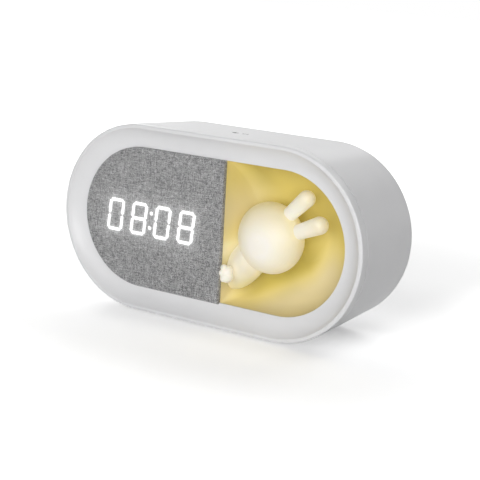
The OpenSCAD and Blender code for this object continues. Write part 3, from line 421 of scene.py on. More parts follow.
# %% The cloth's grid
cloth_round = 1.0 * MM
cloth_back = 5.8 * MM
fine_step = 0.34 * MM
coarse_step = 1.2 * MM
fine_margin = 3 * MM
fine_left = 0.74
fine_right = 42 * MM
hair = 1e-6
halo = 0.34
halo_reach = 0.32 * MM
veil = 0.17
veil_reach = 3 * MM


def lines_between(start, end, fine_start, fine_end):
    """Places from start to end, fine steps apart between the two marks and coarse steps elsewhere."""
    parts = [(start, fine_start, coarse_step), (fine_start, fine_end, fine_step),
        (fine_end, end, coarse_step)]
    made = [np.linspace(a, b, max(2, int(np.ceil((b - a) / step)) + 1))[:-1] for a, b, step in parts if b > a]
    return np.concatenate(made + [[end]])


def cloth_front():
    """Front of the cloth as columns and rows. Right of the round end's middle the grid is square. Left of it
    each point of a half square is drawn onto a half disc: x shrinks with height, and height with x."""
    reach = panel_r - cloth_round
    width = digit_h / 2 + fine_margin
    rows = lines_between(-reach, reach, -width, width) / reach
    left = lines_between(-reach, 0, -reach * fine_left, 0)[:-1] / reach
    right = lines_between(0, panel_right - cloth_round + spine, 0, fine_right)
    a, b = np.meshgrid(left, rows, indexing="ij")
    half_disc = np.stack([a * np.sqrt(1 - b ** 2 / 2), b * np.sqrt(1 - a ** 2 / 2)], axis=-1) * reach
    c, d = np.meshgrid(right, rows * reach, indexing="ij")
    flat = np.concatenate([half_disc, np.stack([c, d], axis=-1)])
    return flat + (-spine, panel_z)


def outline_of(rows, columns):
    """Corner numbers once round the rim of a grid."""
    number = np.arange(rows * columns).reshape(rows, columns)
    return np.concatenate([number[:-1, 0], number[-1, :-1], number[:0:-1, -1], number[0, :0:-1]])


def way_out(flat):
    """Way outwards at rim points: straight out of the round end, up, down or right elsewhere, and both at
    a corner."""
    from_middle = flat - (-spine, panel_z)
    away = np.where(from_middle[:, :1] > 0, 0, from_middle)
    round_part = away / np.maximum(np.linalg.norm(away, axis=1, keepdims=True), 1e-9)
    edge = panel_r - cloth_round - hair
    upright = np.where(np.abs(from_middle[:, 1]) > edge, np.sign(from_middle[:, 1]), 0)
    beside = np.where(flat[:, 0] > panel_right - cloth_round - hair, 1, 0)
    straight = np.stack([beside, upright], axis=-1)
    return np.where(from_middle[:, :1] > hair, straight, round_part)


def fold(rim, out):
    """Rings over the edge: out on an arc's sine, back on its cosine, then straight back. Also how far each
    of them runs."""
    turn = np.radians(np.linspace(18, 90, 5))
    back = np.linspace(cloth_round, cloth_back - (panel_y - lip_y), 5)[1:]
    reach = np.concatenate([cloth_round * np.sin(turn), np.full(len(back), cloth_round)])
    depth = np.concatenate([cloth_round * (1 - np.cos(turn)), back])
    run = np.concatenate([cloth_round * turn, cloth_round * (np.pi / 2 - 1) + back])
    flat = rim[None] + reach[:, None, None] * out[None]
    y = np.broadcast_to(panel_y + depth[:, None], flat.shape[:2])
    return np.stack([flat[..., 0], y, flat[..., 1]], axis=-1), rim[None] + run[:, None, None] * out[None]


def cloth_panel():
    """Front grid and folded rings in one sheet, with a thread map in metres and the light that soaks in."""
    flat = cloth_front()
    columns, rows = flat.shape[:2]
    points = np.stack([flat[..., 0], np.full((columns, rows), panel_y), flat[..., 1]], axis=-1).reshape(-1, 3)
    loop = outline_of(columns, rows)
    rim = flat.reshape(-1, 2)[loop]
    rings, threads = fold(rim, way_out(rim))
    count, first = len(loop), len(points)
    band = grid_faces(len(rings), count, close_columns=True, first=first)
    inner = np.stack([loop, np.roll(loop, -1)], axis=-1)
    outer = np.stack([first + np.arange(count), first + np.roll(np.arange(count), -1)], axis=-1)
    hem = np.stack([inner[:, 0], inner[:, 1], outer[:, 1], outer[:, 0]], axis=-1)
    faces = np.concatenate([grid_faces(columns, rows), hem, band])[:, ::-1]
    piece = make_piece("cloth_panel", np.concatenate([points, rings.reshape(-1, 3)]), faces, sharp=180)
    where = np.concatenate([flat.reshape(-1, 2), threads.reshape(-1, 2)])
    threads_map(piece, where)
    mark_points(piece, "soak", "FLOAT", soaked(where, distance_to_bars(where[:, 0], where[:, 1])))
    return piece


def soaked(where, gap):
    """Light in the cloth: a halo and a veil, and each shrinks by the same factor over every reach of
    distance from the nearest bar or dot."""
    from_dots = np.linalg.norm(where[:, None] - np.array(colon_at), axis=-1).min(axis=1) - colon_r
    near = np.maximum(np.minimum(gap, from_dots), 0)
    return halo * np.exp(-near / halo_reach) + veil * np.exp(-near / veil_reach)


def threads_map(piece, where):
    """Map in metres: every face corner takes its point's place across and along the threads."""
    corner_points = np.empty(len(piece.data.loops), dtype=np.int32)
    piece.data.loops.foreach_get("vertex_index", corner_points)
    layer = piece.data.uv_layers.new(name="threads")
    layer.data.foreach_set("uv", where[corner_points].astype(np.float32).ravel())


cloth = cloth_panel()
print("cloth faces:", len(cloth.data.polygons), "looks to the front:", cloth.data.polygons[0].normal.y < 0)

# %% [markdown]
# ## The weave
#
# The weave is worked out in the material, since threads half a millimetre wide are too many to
# model. Whole numbers of the map give each thread a number of its own, a checkerboard of those
# numbers says which thread is on top, and a rounded height across the thread makes it stand out.
# Noise stretched along the threads gives the heathered yarn its slubs, whose lengths are counted in
# threads. The light that soaks through is added last, and takes the threads' tone too, so that it
# looks woven and not painted.

# %% The cloth's finish
thread_pitch = 0.44 * MM
warp_slub = 8
weft_slub = 9
slub_width = 0.15
thread_jump = 7.31


def stretched(tree, across, along, thread, length):
    """Noise that runs long along a thread and jumps from one thread to the next."""
    own = sums(tree, "MULTIPLY", thread, thread_jump)
    aside = sums(tree, "MULTIPLY", across, slub_width)
    place = add_node(tree, "CombineXYZ", X=own, Y=along, Z=aside).outputs[0]
    return add_node(tree, "TexNoise", Vector=place, Scale=1 / length, Detail=2, Roughness=0.6).outputs["Fac"]


def woven_grey():
    """Plain weave in heathered grey: tone from the thread on top, height from its rounded back, and a painted
    highlight that lightens each thread's crown.
    """
    material, tree, shader = start_material("Heathered grey weave", rough=0.88, Specular_IOR_Level=0.22,
        Sheen_Weight=0.25, Sheen_Roughness=0.5, Emission_Color=(1, 1, 1, 1))
    thread_map = add_node(tree, "UVMap", {"uv_map": "threads"}).outputs["UV"]
    parts = add_node(tree, "SeparateXYZ", Vector=thread_map)
    u, v = (sums(tree, "MULTIPLY", parts.outputs[i], 1 / thread_pitch) for i in (0, 1))
    column, row = (add_node(tree, "Math", {"operation": "FLOOR"}, i0=x).outputs[0] for x in (u, v))
    over = sums(tree, "MODULO", sums(tree, "ADD", column, row, 1000), 2)
    weft_top = sums(tree, "GREATER_THAN", over, 0.5)
    ridge = [woven_ridge(tree, x) for x in (u, v)]
    height = add_node(tree, "Mix", {"data_type": "FLOAT"}, Factor=weft_top, A=ridge[0], B=ridge[1]).outputs[0]
    warp_tone = stretched(tree, u, v, column, warp_slub)
    weft_tone = stretched(tree, v, u, row, weft_slub)
    yarn = add_node(tree, "Mix", {"data_type": "FLOAT"}, Factor=weft_top, A=warp_tone, B=weft_tone).outputs[0]
    fibres = speckle(tree, 0.45 * MM, 1)
    # The height also lightens the tone: a painted highlight on the crown of each thread.
    mixed = sums(tree, "ADD", sums(tree, "MULTIPLY", yarn, 0.8), sums(tree, "MULTIPLY", fibres, 0.5),
        sums(tree, "MULTIPLY", height, 0.14))
    grey = tones(tree, mixed, (0.50, (0.07, 0.07, 0.071)),
        (0.70, (0.29, 0.29, 0.293)), (0.92, (0.68, 0.68, 0.685)))
    soak = add_node(tree, "Attribute", {"attribute_name": "soak"}).outputs["Fac"]
    glow = sums(tree, "MULTIPLY", soak, spread(tree, mixed, 0.75, 1.25))
    feed(tree, shader, Base_Color=grey, Emission_Strength=glow)
    relief(tree, shader, height, 0.09 * MM)
    return material


def woven_ridge(tree, across):
    """Rounded back of a thread: highest at its middle and zero at its sides."""
    share = add_node(tree, "Math", {"operation": "FRACT"}, i0=across).outputs[0]
    return add_node(tree, "Math", {"operation": "SINE"}, i0=sums(tree, "MULTIPLY", share, np.pi)).outputs[0]


cloth.data.materials.append(woven_grey())
thicken(cloth, "cloth thickness", 0.5 * MM)
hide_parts("fabric_panel")
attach(cloth, "clock")

# %% [markdown]
# ## Digits that shine through
#
# Each lit bar is a flat prism with pointed ends, so that neighbours meet in a mitre with a hair's
# breadth between them. The bars lie in the face of the cloth. Two middle bars are unlit at eight
# minutes past eight, and behind cloth an unlit bar doesn't show, so they aren't drawn at all.

# %% Light bars
def prisms(name, outlines, low, high):
    """Upright prisms on flat outlines of equal length, between two depths, closed at both ends."""
    outlines = np.asarray(outlines)
    shapes, corners = outlines.shape[:2]
    levels = [np.insert(outlines, 1, y, axis=-1) for y in (low, high)]
    points = np.stack(levels, axis=1).reshape(-1, 3)
    first = np.arange(shapes)[:, None] * 2 * corners
    ring_a = first + np.arange(corners)[None]
    ring_b = ring_a + corners
    sides = np.stack([ring_a, np.roll(ring_a, -1, axis=1), np.roll(ring_b, -1, axis=1), ring_b], axis=-1)
    return make_piece(name, points, [*sides.reshape(-1, 4), *ring_a[:, ::-1], *ring_b])


def face_out(piece):
    """Turns every face of a closed piece outwards."""
    shape = bmesh.new()
    shape.from_mesh(piece.data)
    bmesh.ops.recalc_face_normals(shape, faces=shape.faces)
    shape.to_mesh(piece.data)
    shape.free()


lights_front = panel_y - 0.04 * MM
lights_back = panel_y + 2 * MM
light_bars = prisms("light_bars", [bar_outline(e) for e in lit_bars()], lights_front, lights_back)
dots = [arc(at, colon_r, 0, 360, 32)[:-1] for at in colon_at]
colon = prisms("colon_lights", dots, lights_front, lights_back)
for piece in (light_bars, colon):
    face_out(piece)

digit_glow, tree, shader = start_material("Light through cloth", (0.9, 0.9, 0.9), 0.8,
    Emission_Color=(1, 1, 1, 1))
feed(tree, shader, Emission_Strength=spread(tree, speckle(tree, 0.5 * MM, 1), 0.7, 1.25))
for piece, node in ((light_bars, "digit_segments"), (colon, "colon_dots")):
    piece.data.materials.append(digit_glow)
    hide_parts(node)
    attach(piece, "clock")
print("light bars:", len(light_bars.data.polygons), "faces")

# %% [markdown]
# ## The yellow scoop and the rabbit
#
# Both are seen from the front, so what changes over them is told by a place on the face: how far
# across and how far up. Two helpers turn such a place into a share from 0 to 1 for the finishes. One
# runs along a line, and the other outwards from a middle.

# %% Where a point lies on the face
def ramp_between(tree, start, end):
    """0 at one place on the face and 1 at another, across and up in metres, with soft ends and no depth."""
    start, way = np.array(start), np.subtract(end, start)
    slope = way / (way @ way)
    from_start = vectors(tree, "SUBTRACT", place_on(tree), (start[0], 0, start[1]))
    return soft_step(tree, vectors(tree, "DOT_PRODUCT", from_start, (slope[0], 0, slope[1])), 0, 1, 1)


def away_from(tree, middle, inner, outer):
    """0 within one distance from a place on the face and 1 beyond another, with no depth."""
    from_middle = vectors(tree, "SUBTRACT", place_on(tree), (middle[0], 0, middle[1]))
    far = vectors(tree, "LENGTH", vectors(tree, "MULTIPLY", from_middle, (1, 0, 1)))
    return add_node(tree, "MapRange", Value=far, From_Min=inner, From_Max=outer).outputs["Result"]

# %% [markdown]
# ## The scoop's surface
#
# Seen from the front the scoop is D-shaped. Its surface is that outline at growing depths, smaller
# each time and with rounder corners beside the cloth. Each point also takes a colour with painted
# light and shade in it: painted light from the rabbit turns its yellow to cream low down and along
# the cloth, and painted shade darkens it with depth, where the rabbit's shade falls and at three
# spots. Places for tones are in millimetres from the middle of the face. A spot is given as its
# strength, its place and its size, and a run as the places where it starts and ends.

# %% The scoop's surface
scoop_depth = 24 * MM
scoop_floor_r = 14 * MM
scoop_side = 9.6 * MM
scoop_wall = 1.8 * MM
scoop_flange = 2.8 * MM
scoop_corner = 11 * MM
scoop_corner_least = 0.4 * MM
scoop_r = mouth_r + 0.1 * MM
end_steps = 72
side_steps = 20
corner_steps = 12
shade_fade = 8
cloth_glow_fade = 2.5
# Runs and spots of painted light and painted shade on the scoop's yellow.
painted_light_run = [(66, 6), (52, -18)]
painted_brightening_run = [(45, 20), (60, 8)]
scoop_shaded = (1.0, 0.825, 0.19)
scoop_yellow = (1.0, 0.84, 0.26)
scoop_painted_light_cream = (1.0, 0.88, 0.54)
painted_light_spots = [(0.3, (14, -35), 7), (0.2, (60, -18), 8)]
painted_shade_spots = [(0.2, (18, 29), 6), (0.14, (61, 13), 6), (0.11, (38, -26), 6)]
# A painted glow: the rabbit's light painted on the scoop beside its body.
painted_glow_spots = [(0.27, (12.5, -9), 4)]


def scoop_outline(radius, left, corner):
    """D-shaped outline: along the bottom, round the right-hand end, back along the top, round a corner, down
    the left side, and round the other corner."""
    turn = np.radians(np.linspace(-90, 90, end_steps, endpoint=False))
    share, from_left = np.linspace(0, 1, side_steps, endpoint=False), left + corner
    bottom = np.stack([from_left + (spine - from_left) * share, np.full(side_steps, -radius)], axis=-1)
    end = np.stack([spine + radius * np.cos(turn), radius * np.sin(turn)], axis=-1)
    top = np.stack([spine + (from_left - spine) * share, np.full(side_steps, radius)], axis=-1)
    upper = arc((from_left, radius - corner), corner, 90, 180, corner_steps)[:-1]
    down = np.stack([np.full(side_steps, left), (radius - corner) * (1 - 2 * share)], axis=-1)
    lower = arc((from_left, corner - radius), corner, 180, 270, corner_steps)[:-1]
    return np.concatenate([bottom, end, top, upper, down, lower])


def scoop_points(steps=36):
    """Outlines from the flange to the floor: as an angle goes from 0 to 90 degrees, the depth and the
    corners' radius follow its sine, and the radius and the left side close in with its cosine."""
    turn = np.radians(np.linspace(0, 90, steps + 1))
    radii = scoop_floor_r + (scoop_r - scoop_floor_r) * np.cos(turn)
    lefts = panel_right + scoop_side * (1 - np.cos(turn))
    depths = ring_back + scoop_depth * np.sin(turn)
    corners = scoop_corner_least + scoop_corner * np.sin(turn)
    rims = [(scoop_r + scoop_flange, panel_right - scoop_flange, corners[0], ring_back),
        *zip(radii, lefts, corners, depths)]
    outlines = [np.insert(scoop_outline(*rim), 1, lip_y + y, axis=-1) for *rim, y in rims]
    return np.stack(outlines) + (0, 0, mid_z)


def eased(value):
    """0 below 0, 1 above 1, and between them three times the square less twice the cube."""
    t = np.clip(value, 0, 1)
    return t * t * (3 - 2 * t)


def run_between(x, z, start, end):
    """How far points have come from one place to another, as an eased share."""
    way = np.subtract(end, start)
    return eased(((x - start[0]) * way[0] + (z - start[1]) * way[1]) / (way @ way))


def from_rabbit(x, z, head=(34, -4), foot=(16, -22), head_reach=15, foot_reach=8):
    """Distance outside a tapered bar that runs from the head to the foot, in millimetres."""
    way = np.subtract(foot, head)
    share = np.clip(((x - head[0]) * way[0] + (z - head[1]) * way[1]) / (way @ way), 0, 1)
    gap = np.hypot(x - head[0] - share * way[0], z - head[1] - share * way[1])
    return gap - head_reach - (foot_reach - head_reach) * share


def spots(x, z, table):
    """Sum of a table's spots: each its strength times e to the power of minus half the square of the
    distance from its place over its size."""
    return sum(strength * np.exp(-((x - at[0]) ** 2 + (z - at[1]) ** 2) / (2 * size ** 2))
        for strength, at, size in table)


def scoop_colour_and_painted_light(points):
    """Yellow with painted shade and painted light: painted shade darkens it with depth, in the rabbit's
    shade and at three spots, and painted light turns it to cream low down, out of that shade, and
    beside the cloth, and brightens it a little towards the right."""
    x, depth, z = np.moveaxis((points - (0, lip_y, mid_z)) / MM, -1, 0)
    # Painted shade where the rabbit's shade falls, and painted cream light low down and beside the cloth.
    gap = from_rabbit(x, z)
    out_of_painted_shade = eased(gap / shade_fade)[..., None]
    low = run_between(x, z, *painted_light_run) * eased((gap - 2) / 14)
    beside = np.exp(-np.maximum(x - panel_right / MM, 0) / cloth_glow_fade) * (0.35 + 0.4 * eased(-z / 20))
    cream = np.minimum(np.maximum(low, beside) + spots(x, z, painted_light_spots), 1)[..., None]
    colour = scoop_shaded + np.subtract(scoop_yellow, scoop_shaded) * out_of_painted_shade
    colour = colour + (scoop_painted_light_cream - colour) * cream
    # Painted shade with depth and at three spots, and a painted brightening towards the right.
    painted_brightening = run_between(x, z, *painted_brightening_run)
    light = (1.13 - 0.0125 * depth) * (1 + 0.1 * painted_brightening) * (1 - spots(x, z, painted_shade_spots))
    return colour * np.clip(light[..., None] * (0.70 + 0.28 * out_of_painted_shade), 0.1, 0.93)


grid = scoop_points()
rows, columns = grid.shape[:2]
faces = grid_faces(rows, columns, close_columns=True)
floor_face = range((rows - 1) * columns, rows * columns)
scoop = make_piece("scoop", grid, [*faces, floor_face], sharp=50)
places = grid.reshape(-1, 3)
# The scoop's colour: its own yellow with painted light and shade in it.
mark_points(scoop, "tone", "FLOAT_COLOR", np.column_stack([scoop_colour_and_painted_light(places), np.ones(len(places))]))
# Painted glow beside the rabbit's body, which the finish gives out as light.
mark_points(scoop, "painted_glow", "FLOAT", spots(places[:, 0] / MM, (places[:, 2] - mid_z) / MM, painted_glow_spots))
thicken(scoop, "wall", scoop_wall)
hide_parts("night_light_bowl")
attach(scoop, "clock")
facing = sum(f.normal.y * f.area for f in scoop.data.polygons)
print("scoop faces:", len(scoop.data.polygons), "looks to the front:", facing < 0)

# %% [markdown]
# ## The scoop's plastic and the rabbit's
#
# The scoop is a matt moulding. The rabbit is a milky diffuser, thick enough to scatter the light of
# the chips behind it. Its head and foot are palest in the middle and its ears at the root, where the
# chips are near, and further out all take a painted yellow: the scoop's yellow light painted into
# their colour. Its body is pale at the upper left, where a chip is behind it, and has that painted
# yellow away from there.

# %% Scoop and milky diffuser
def matt_yellow():
    """Soft yellow plastic: its colour, with painted light and shade, comes from the surface and wanders a
    little, with a fine grain, and a painted glow of the rabbit's light lies on it beside the body."""
    material, tree, shader = start_material("Matt yellow plastic", rough=0.6, Specular_IOR_Level=0.3,
        Emission_Color=(0.75, 0.88, 1, 1))
    tone = add_node(tree, "Attribute", {"attribute_name": "tone"}).outputs["Color"]
    cloud = spread(tree, speckle(tree, 18 * MM), 0.985, 1.015)
    colour = add_node(tree, "VectorMath", {"operation": "SCALE"}, i0=tone, Scale=cloud).outputs[0]
    painted_glow = add_node(tree, "Attribute", {"attribute_name": "painted_glow"}).outputs["Fac"]
    feed(tree, shader, Base_Color=colour, Emission_Strength=painted_glow)
    relief(tree, shader, speckle(tree, 0.4 * MM, 1), 0.006 * MM)
    return material


def milky(name, share, inner, outer, glow_in, glow_out):
    """Milky plastic that scatters light under its skin: its colour and its glow go from inner to outer
    along a share of 0 to 1, which a function of the tree works out."""
    material, tree, shader = start_material(name, rough=0.42, Subsurface_Weight=0.35, Subsurface_Scale=3 * MM,
        Subsurface_Radius=(1.0, 0.8, 0.45), Sheen_Weight=0.2, Sheen_Roughness=0.35)
    part = share(tree)
    colour = tones(tree, part, (0, inner), (1, outer))
    feed(tree, shader, Base_Color=colour, Emission_Color=colour,
        Emission_Strength=spread(tree, part, glow_in, glow_out))
    relief(tree, shader, speckle(tree, 0.3 * MM, 1), 0.004 * MM)
    return material


def far_from_lamp(tree):
    """0 at the body's upper left, where a chip is behind it, and 1 at its lower end."""
    return ramp_between(tree, (15 * MM, mid_z - 17 * MM), (19 * MM, mid_z - 30 * MM))


head_low, head_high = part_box("rabbit_head")
head_at = face_middle(head_low, head_high)
head_r = (head_high.x - head_low.x) / 2
glow_at = (head_at[0], head_at[1] - 3 * MM)
foot_at = face_middle(*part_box("rabbit_foot"))

scoop.data.materials.append(matt_yellow())
# The second colour of each rabbit finish is painted yellow light from the scoop, towards its rim, tips or
# lower end.
finish_with(milky("Lit cream head", lambda t: away_from(t, glow_at, 0.3 * head_r, 1.15 * head_r),
    (0.88, 0.84, 0.76), (0.84, 0.75, 0.48), 0.24, 0.12), "rabbit_head")
finish_with(milky("Lit cream ears", lambda t: away_from(t, head_at, 1.25 * head_r, 2.0 * head_r),
    (0.87, 0.83, 0.71), (0.85, 0.78, 0.57), 0.21, 0.15), "rabbit_ears")
finish_with(milky("Lit cream body", far_from_lamp,
    (0.85, 0.79, 0.64), (0.84, 0.77, 0.50), 0.14, 0.10), "rabbit_body")
finish_with(milky("Lit cream foot", lambda t: away_from(t, foot_at, 2 * MM, 6 * MM),
    (0.88, 0.85, 0.75), (0.86, 0.81, 0.66), 0.22, 0.16), "rabbit_foot")

# %% [markdown]
# ## Metals, boards and wires
#
# Nobody sees the inside of a clock until it is opened, but a well made model has it. Zinc plated
# screws are a little milky, and stamped shells show the grain of the rolled sheet.

# %% Metals
def plated(name, colour, rough, grain):
    """Bare metal: its sheen wanders with noise that is drawn out along one way, as rolling leaves it."""
    material, tree, shader = start_material(name, colour, rough, Metallic=1.0)
    drawn = add_node(tree, "Mapping", Vector=place_on(tree), Scale=(1, 8, 8))
    lines = speckle(tree, grain, 3, drawn.outputs[0])
    darker = tuple(c * 0.9 for c in colour)
    feed(tree, shader, Base_Color=tones(tree, lines, (0.3, darker), (0.7, colour)),
        Roughness=spread(tree, lines, rough - 0.08, rough + 0.1))
    relief(tree, shader, lines, 0.002 * MM)
    return material


screw_steel = plated("Zinc plated steel", (0.62, 0.62, 0.64), 0.34, 0.8 * MM)
socket_steel = plated("Stamped steel", (0.66, 0.66, 0.67), 0.28, 1.2 * MM)
nickel = plated("Nickel strip", (0.70, 0.67, 0.62), 0.25, 1.0 * MM)
copper = plated("Copper foil", (0.85, 0.44, 0.27), 0.3, 1.5 * MM)

# %% [markdown]
# A circuit board is glass cloth under a coloured lacquer, so its weave shows as faint squares.

# %% Boards
def lacquered(name, colour, faint):
    """Circuit board: a checker of faint squares from the glass cloth, under a glossy lacquer."""
    material, tree, shader = start_material(name, colour, 0.3)
    squares = add_node(tree, "TexChecker", Vector=place_on(tree), Scale=1 / (0.5 * MM),
        Color1=(*colour, 1), Color2=(*faint, 1))
    cloud = speckle(tree, 6 * MM)
    mixed = add_node(tree, "Mix", {"data_type": "RGBA"}, Factor=cloud,
        i6=squares.outputs["Color"], i7=(*colour, 1))
    feed(tree, shader, Base_Color=mixed.outputs[2], Roughness=spread(tree, cloud, 0.24, 0.36))
    return material


circuit_green = lacquered("Green lacquered board", (0.02, 0.16, 0.06), (0.03, 0.20, 0.08))
circuit_white = lacquered("White lacquered board", (0.80, 0.80, 0.78), (0.76, 0.76, 0.74))

# %% [markdown]
# The smaller things are plastics of their own, apart from three: the speaker's cone is pressed from
# black paper, the ribbon is made of wires side by side, and a light chip sits under yellow gel.

# %% Wrap, sleeves, magnet, foam, paper, ribbon and gel
cell_wrap = moulded("Blue cell wrap", (0.03, 0.10, 0.30), 0.25, grain=2 * MM, depth=0.01 * MM)
lead_sleeve = moulded("Red lead sleeve", (0.42, 0.02, 0.015), 0.38, grain=0.5 * MM)
magnet_black = moulded("Pressed ferrite", (0.045, 0.045, 0.05), 0.62, grain=0.4 * MM, depth=0.03 * MM)
gasket_foam = moulded("Closed-cell foam", (0.03, 0.03, 0.032), 0.95, grain=0.5 * MM, depth=0.12 * MM)
touch_ink = moulded("Dark grey ink", (0.05, 0.05, 0.055), 0.5, grain=0.2 * MM)
reflector_white = moulded("White reflector moulding", (0.85, 0.85, 0.85), 0.45)


def pressed_paper():
    """Black paper cone: long fibres in relief and in tone."""
    material, tree, shader = start_material("Pressed black paper", (0.03, 0.03, 0.032), 0.9)
    fibres = add_node(tree, "TexVoronoi", {"feature": "DISTANCE_TO_EDGE"}, Vector=place_on(tree),
        Scale=1 / (0.7 * MM)).outputs["Distance"]
    blacks = tones(tree, fibres, (0.0, (0.055, 0.055, 0.058)), (0.4, (0.022, 0.022, 0.024)))
    feed(tree, shader, Base_Color=blacks)
    relief(tree, shader, fibres, 0.04 * MM)
    return material


def flat_cable():
    """Grey ribbon: fine stripes along it, one for each of its wires."""
    material, tree, shader = start_material("Grey flat cable", (0.45, 0.45, 0.47), 0.4)
    stripes = add_node(tree, "TexWave", {"bands_direction": "Z"}, Vector=place_on(tree),
        Scale=1 / (6.28 * MM)).outputs["Fac"]
    feed(tree, shader, Base_Color=tones(tree, stripes, (0.1, (0.30, 0.30, 0.32)), (0.7, (0.50, 0.50, 0.52))))
    relief(tree, shader, stripes, 0.1 * MM)
    return material


def chip_phosphor():
    """Yellow gel over a light chip: a paler, brighter middle that glows."""
    material, tree, shader = start_material("Yellow chip gel", (0.95, 0.62, 0.12), 0.35,
        Emission_Color=(1, 0.75, 0.35, 1), Emission_Strength=0.3)
    cloud = speckle(tree, 1.2 * MM)
    feed(tree, shader, Base_Color=tones(tree, cloud, (0.3, (0.90, 0.55, 0.08)), (0.7, (1.0, 0.72, 0.22))))
    return material

# %% [markdown]
# Each solid that has no new surface of its own is given its finish by name. The check at the end
# lists any that were left out.

# %% Every solid gets its finish
finish_with(shell_white, "rear_casing", "rear_cover")
finish_with(inner_white, "front_frame", "panel_carrier")
finish_with(reflector_white, "display_reflector")
finish_with(screw_steel, *[name for name in nodes if name.endswith("_screws")])
finish_with(circuit_green, "display_board", "rear_board")
finish_with(circuit_white, "lamp_board")
finish_with(chip_phosphor(), "display_leds", "lamp_leds")
finish_with(foot_rubber, "rubber_feet")
finish_with(touch_ink, "touch_mark")
finish_with(copper, "touch_pad")
finish_with(black_plastic, "touch_lead", "battery_holder", "board_chips", "key_switches")
finish_with(cell_wrap, "battery_cell")
finish_with(nickel, "battery_contacts")
finish_with(lead_sleeve, "battery_leads", "speaker_leads", "lamp_leads")
finish_with(nylon_cream, "board_connectors")
finish_with(key_grey, "key_set", "key_up", "key_down", "key_alarm", "power_slider")
finish_with(socket_steel, "power_switch", "usb_socket", "speaker_frame")
finish_with(magnet_black, "speaker_magnet")
finish_with(pressed_paper(), "speaker_cone")
finish_with(gasket_foam, "speaker_gasket")
finish_with(flat_cable(), "display_ribbon")
made = {m.name for m in bpy.data.materials if m.use_nodes}
bare = [n for n, o in nodes.items() if not o.data.materials or o.data.materials[0].name not in made]
print("solids without a finish:", bare)

# %% [markdown]
# ## Floor, light and camera
#
# A product is best shown under large soft lamps on a plain pale floor. The floor's own colour makes
# it pale, and it still takes the clock's shadow. What the camera sees of it is whitened, less so in a
# painted shadow round the clock's foot and least behind the clock, so it looks whiter the further it
# is from the clock.

# %% Floor
floor_half = 3.0
# Painted shadow on the floor: less lift in a patch round the clock's foot, and less again behind it.
painted_shadow_patch = (0.54 * (big_r + spine), -lip_y, 0)
painted_shadow_shift = 8 * MM
lift_near = 0.42
painted_shadow_behind = -0.29


def pale_floor():
    """Matt floor, whose tone wanders very slightly. What the camera sees of it is lifted by a sum of soft
    steps: one less behind the clock, which ends to its sides, and three that grow with the distance from
    the patch, which leaves a painted shadow round the clock's foot and behind it."""
    material, tree, shader = start_material("Pale floor", (0.9, 0.9, 0.9), 0.8, Specular_IOR_Level=0.1,
        Emission_Color=(1, 1, 1, 1))
    place = vectors(tree, "SUBTRACT", place_on(tree), (painted_shadow_shift, 0, 0))
    beyond = vectors(tree, "SUBTRACT", vectors(tree, "ABSOLUTE", place), painted_shadow_patch)
    outside = vectors(tree, "MAXIMUM", beyond, (0, 0, 0))
    away = vectors(tree, "LENGTH", outside)
    back = add_node(tree, "SeparateXYZ", Vector=place_on(tree)).outputs["Y"]
    aside = add_node(tree, "SeparateXYZ", Vector=outside).outputs["X"]
    behind = sums(tree, "MULTIPLY", soft_step(tree, back, -10 * MM, 36 * MM, painted_shadow_behind),
        soft_step(tree, aside, 50 * MM, 0, 1))
    lift = sums(tree, "ADD", lift_near, behind, soft_step(tree, away, 0, 30 * MM, 0.17),
        soft_step(tree, away, 50 * MM, 130 * MM, 0.12), soft_step(tree, away, 110 * MM, 500 * MM, 0.34))
    camera_ray = add_node(tree, "LightPath").outputs["Is Camera Ray"]
    cloud = speckle(tree, 600 * MM)
    feed(tree, shader, Base_Color=tones(tree, cloud, (0.3, (0.89, 0.89, 0.89)), (0.7, (0.91, 0.91, 0.91))),
        Emission_Strength=sums(tree, "MULTIPLY", lift, camera_ray))
    return material


floor_corners = [(x, y, 0) for x in (-floor_half, floor_half) for y in (-floor_half, floor_half)]
floor = make_piece("floor", floor_corners, grid_faces(2, 2)[:, ::-1])
floor.data.materials.append(pale_floor())

# %% [markdown]
# The world fills the shadows at an even level, but shows itself as plain white to the camera and in
# reflections. Five area lamps shape the clock: two low ones in front of it, and three behind it and
# higher, which light its top but not its right side.

# %% World and lamps
lamp_size = 0.8
lamp_distance = 1.5
fill_level = 0.02


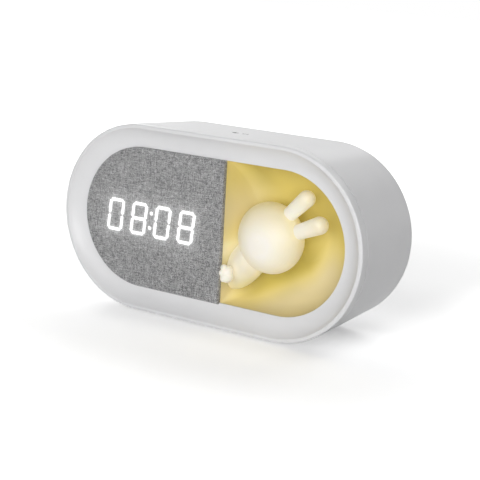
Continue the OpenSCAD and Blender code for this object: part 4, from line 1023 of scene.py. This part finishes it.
def soft_world(level):
    """Even light at one level, and plain white for the camera's rays and those that a mirror or glass
    sends on."""
    world = bpy.data.worlds.new("soft world")
    world.use_nodes = True
    tree, sky = world.node_tree, world.node_tree.nodes["Background"]
    path = add_node(tree, "LightPath").outputs
    seen = sums(tree, "MAXIMUM", path["Is Camera Ray"], path["Is Glossy Ray"], path["Is Transmission Ray"])
    tree.links.new(spread(tree, seen, level, 1.0), sky.inputs["Strength"])
    sky.inputs["Color"].default_value = (1, 1, 1, 1)
    bpy.context.scene.world = world


def way_to(azimuth, elevation):
    """Direction from the clock at two angles in degrees: azimuth 0 is in front of it and 90 at its right."""
    a, e = np.radians([azimuth, elevation])
    return np.array([np.sin(a) * np.cos(e), -np.cos(a) * np.cos(e), np.sin(e)])


def lamp(name, azimuth, elevation, watts):
    """Square area lamp at one distance from the clock's middle, and turned to face it."""
    way = way_to(azimuth, elevation)
    light = bpy.data.lights.new(name, "AREA")
    light.size = lamp_size
    light.energy = watts
    holder = bpy.data.objects.new(name, light)
    holder.location = Vector((0, 0, mid_z)) + lamp_distance * Vector(way)
    holder.rotation_euler = Vector(-way).to_track_quat("-Z", "Y").to_euler()
    bpy.context.scene.collection.objects.link(holder)


soft_world(fill_level)
lamp("front lamp", 0, 14, 4.6)
lamp("right lamp", 30, 6, 14.2)
lamp("high back lamp", 160, 45, 5.3)
lamp("back lamp", 205, 35, 3.7)
lamp("left lamp", 235, 30, 5.9)

# %% [markdown]
# ## The camera
#
# The camera looks at the clock from the right and a little above. It is turned a few degrees about
# the direction of its view, as a hand-held camera would be.

# %% Camera
def turned_camera(place, azimuth, elevation, roll, focal):
    """Camera whose right, up and back are worked out from its azimuth, elevation and roll in degrees."""
    back = way_to(azimuth, elevation)
    a, r = np.radians([azimuth, roll])
    right = np.array([np.cos(a), np.sin(a), 0])
    up = np.cross(back, right)
    tilted_right = np.cos(r) * right + np.sin(r) * up
    tilted_up = np.cos(r) * up - np.sin(r) * right
    camera = bpy.data.objects.new("camera", bpy.data.cameras.new("camera"))
    axes = np.column_stack([tilted_right, tilted_up, back, place])
    camera.matrix_world = Matrix(np.vstack([axes, [0, 0, 0, 1]]))
    camera.data.lens = focal
    camera.data.sensor_width = 36
    bpy.context.scene.collection.objects.link(camera)
    bpy.context.scene.camera = camera


turned_camera((0.39694, -0.59683, 0.20067), azimuth=33.4, elevation=12.5, roll=3.15, focal=103.22)
bpy.context.scene.view_settings.view_transform = "Standard"
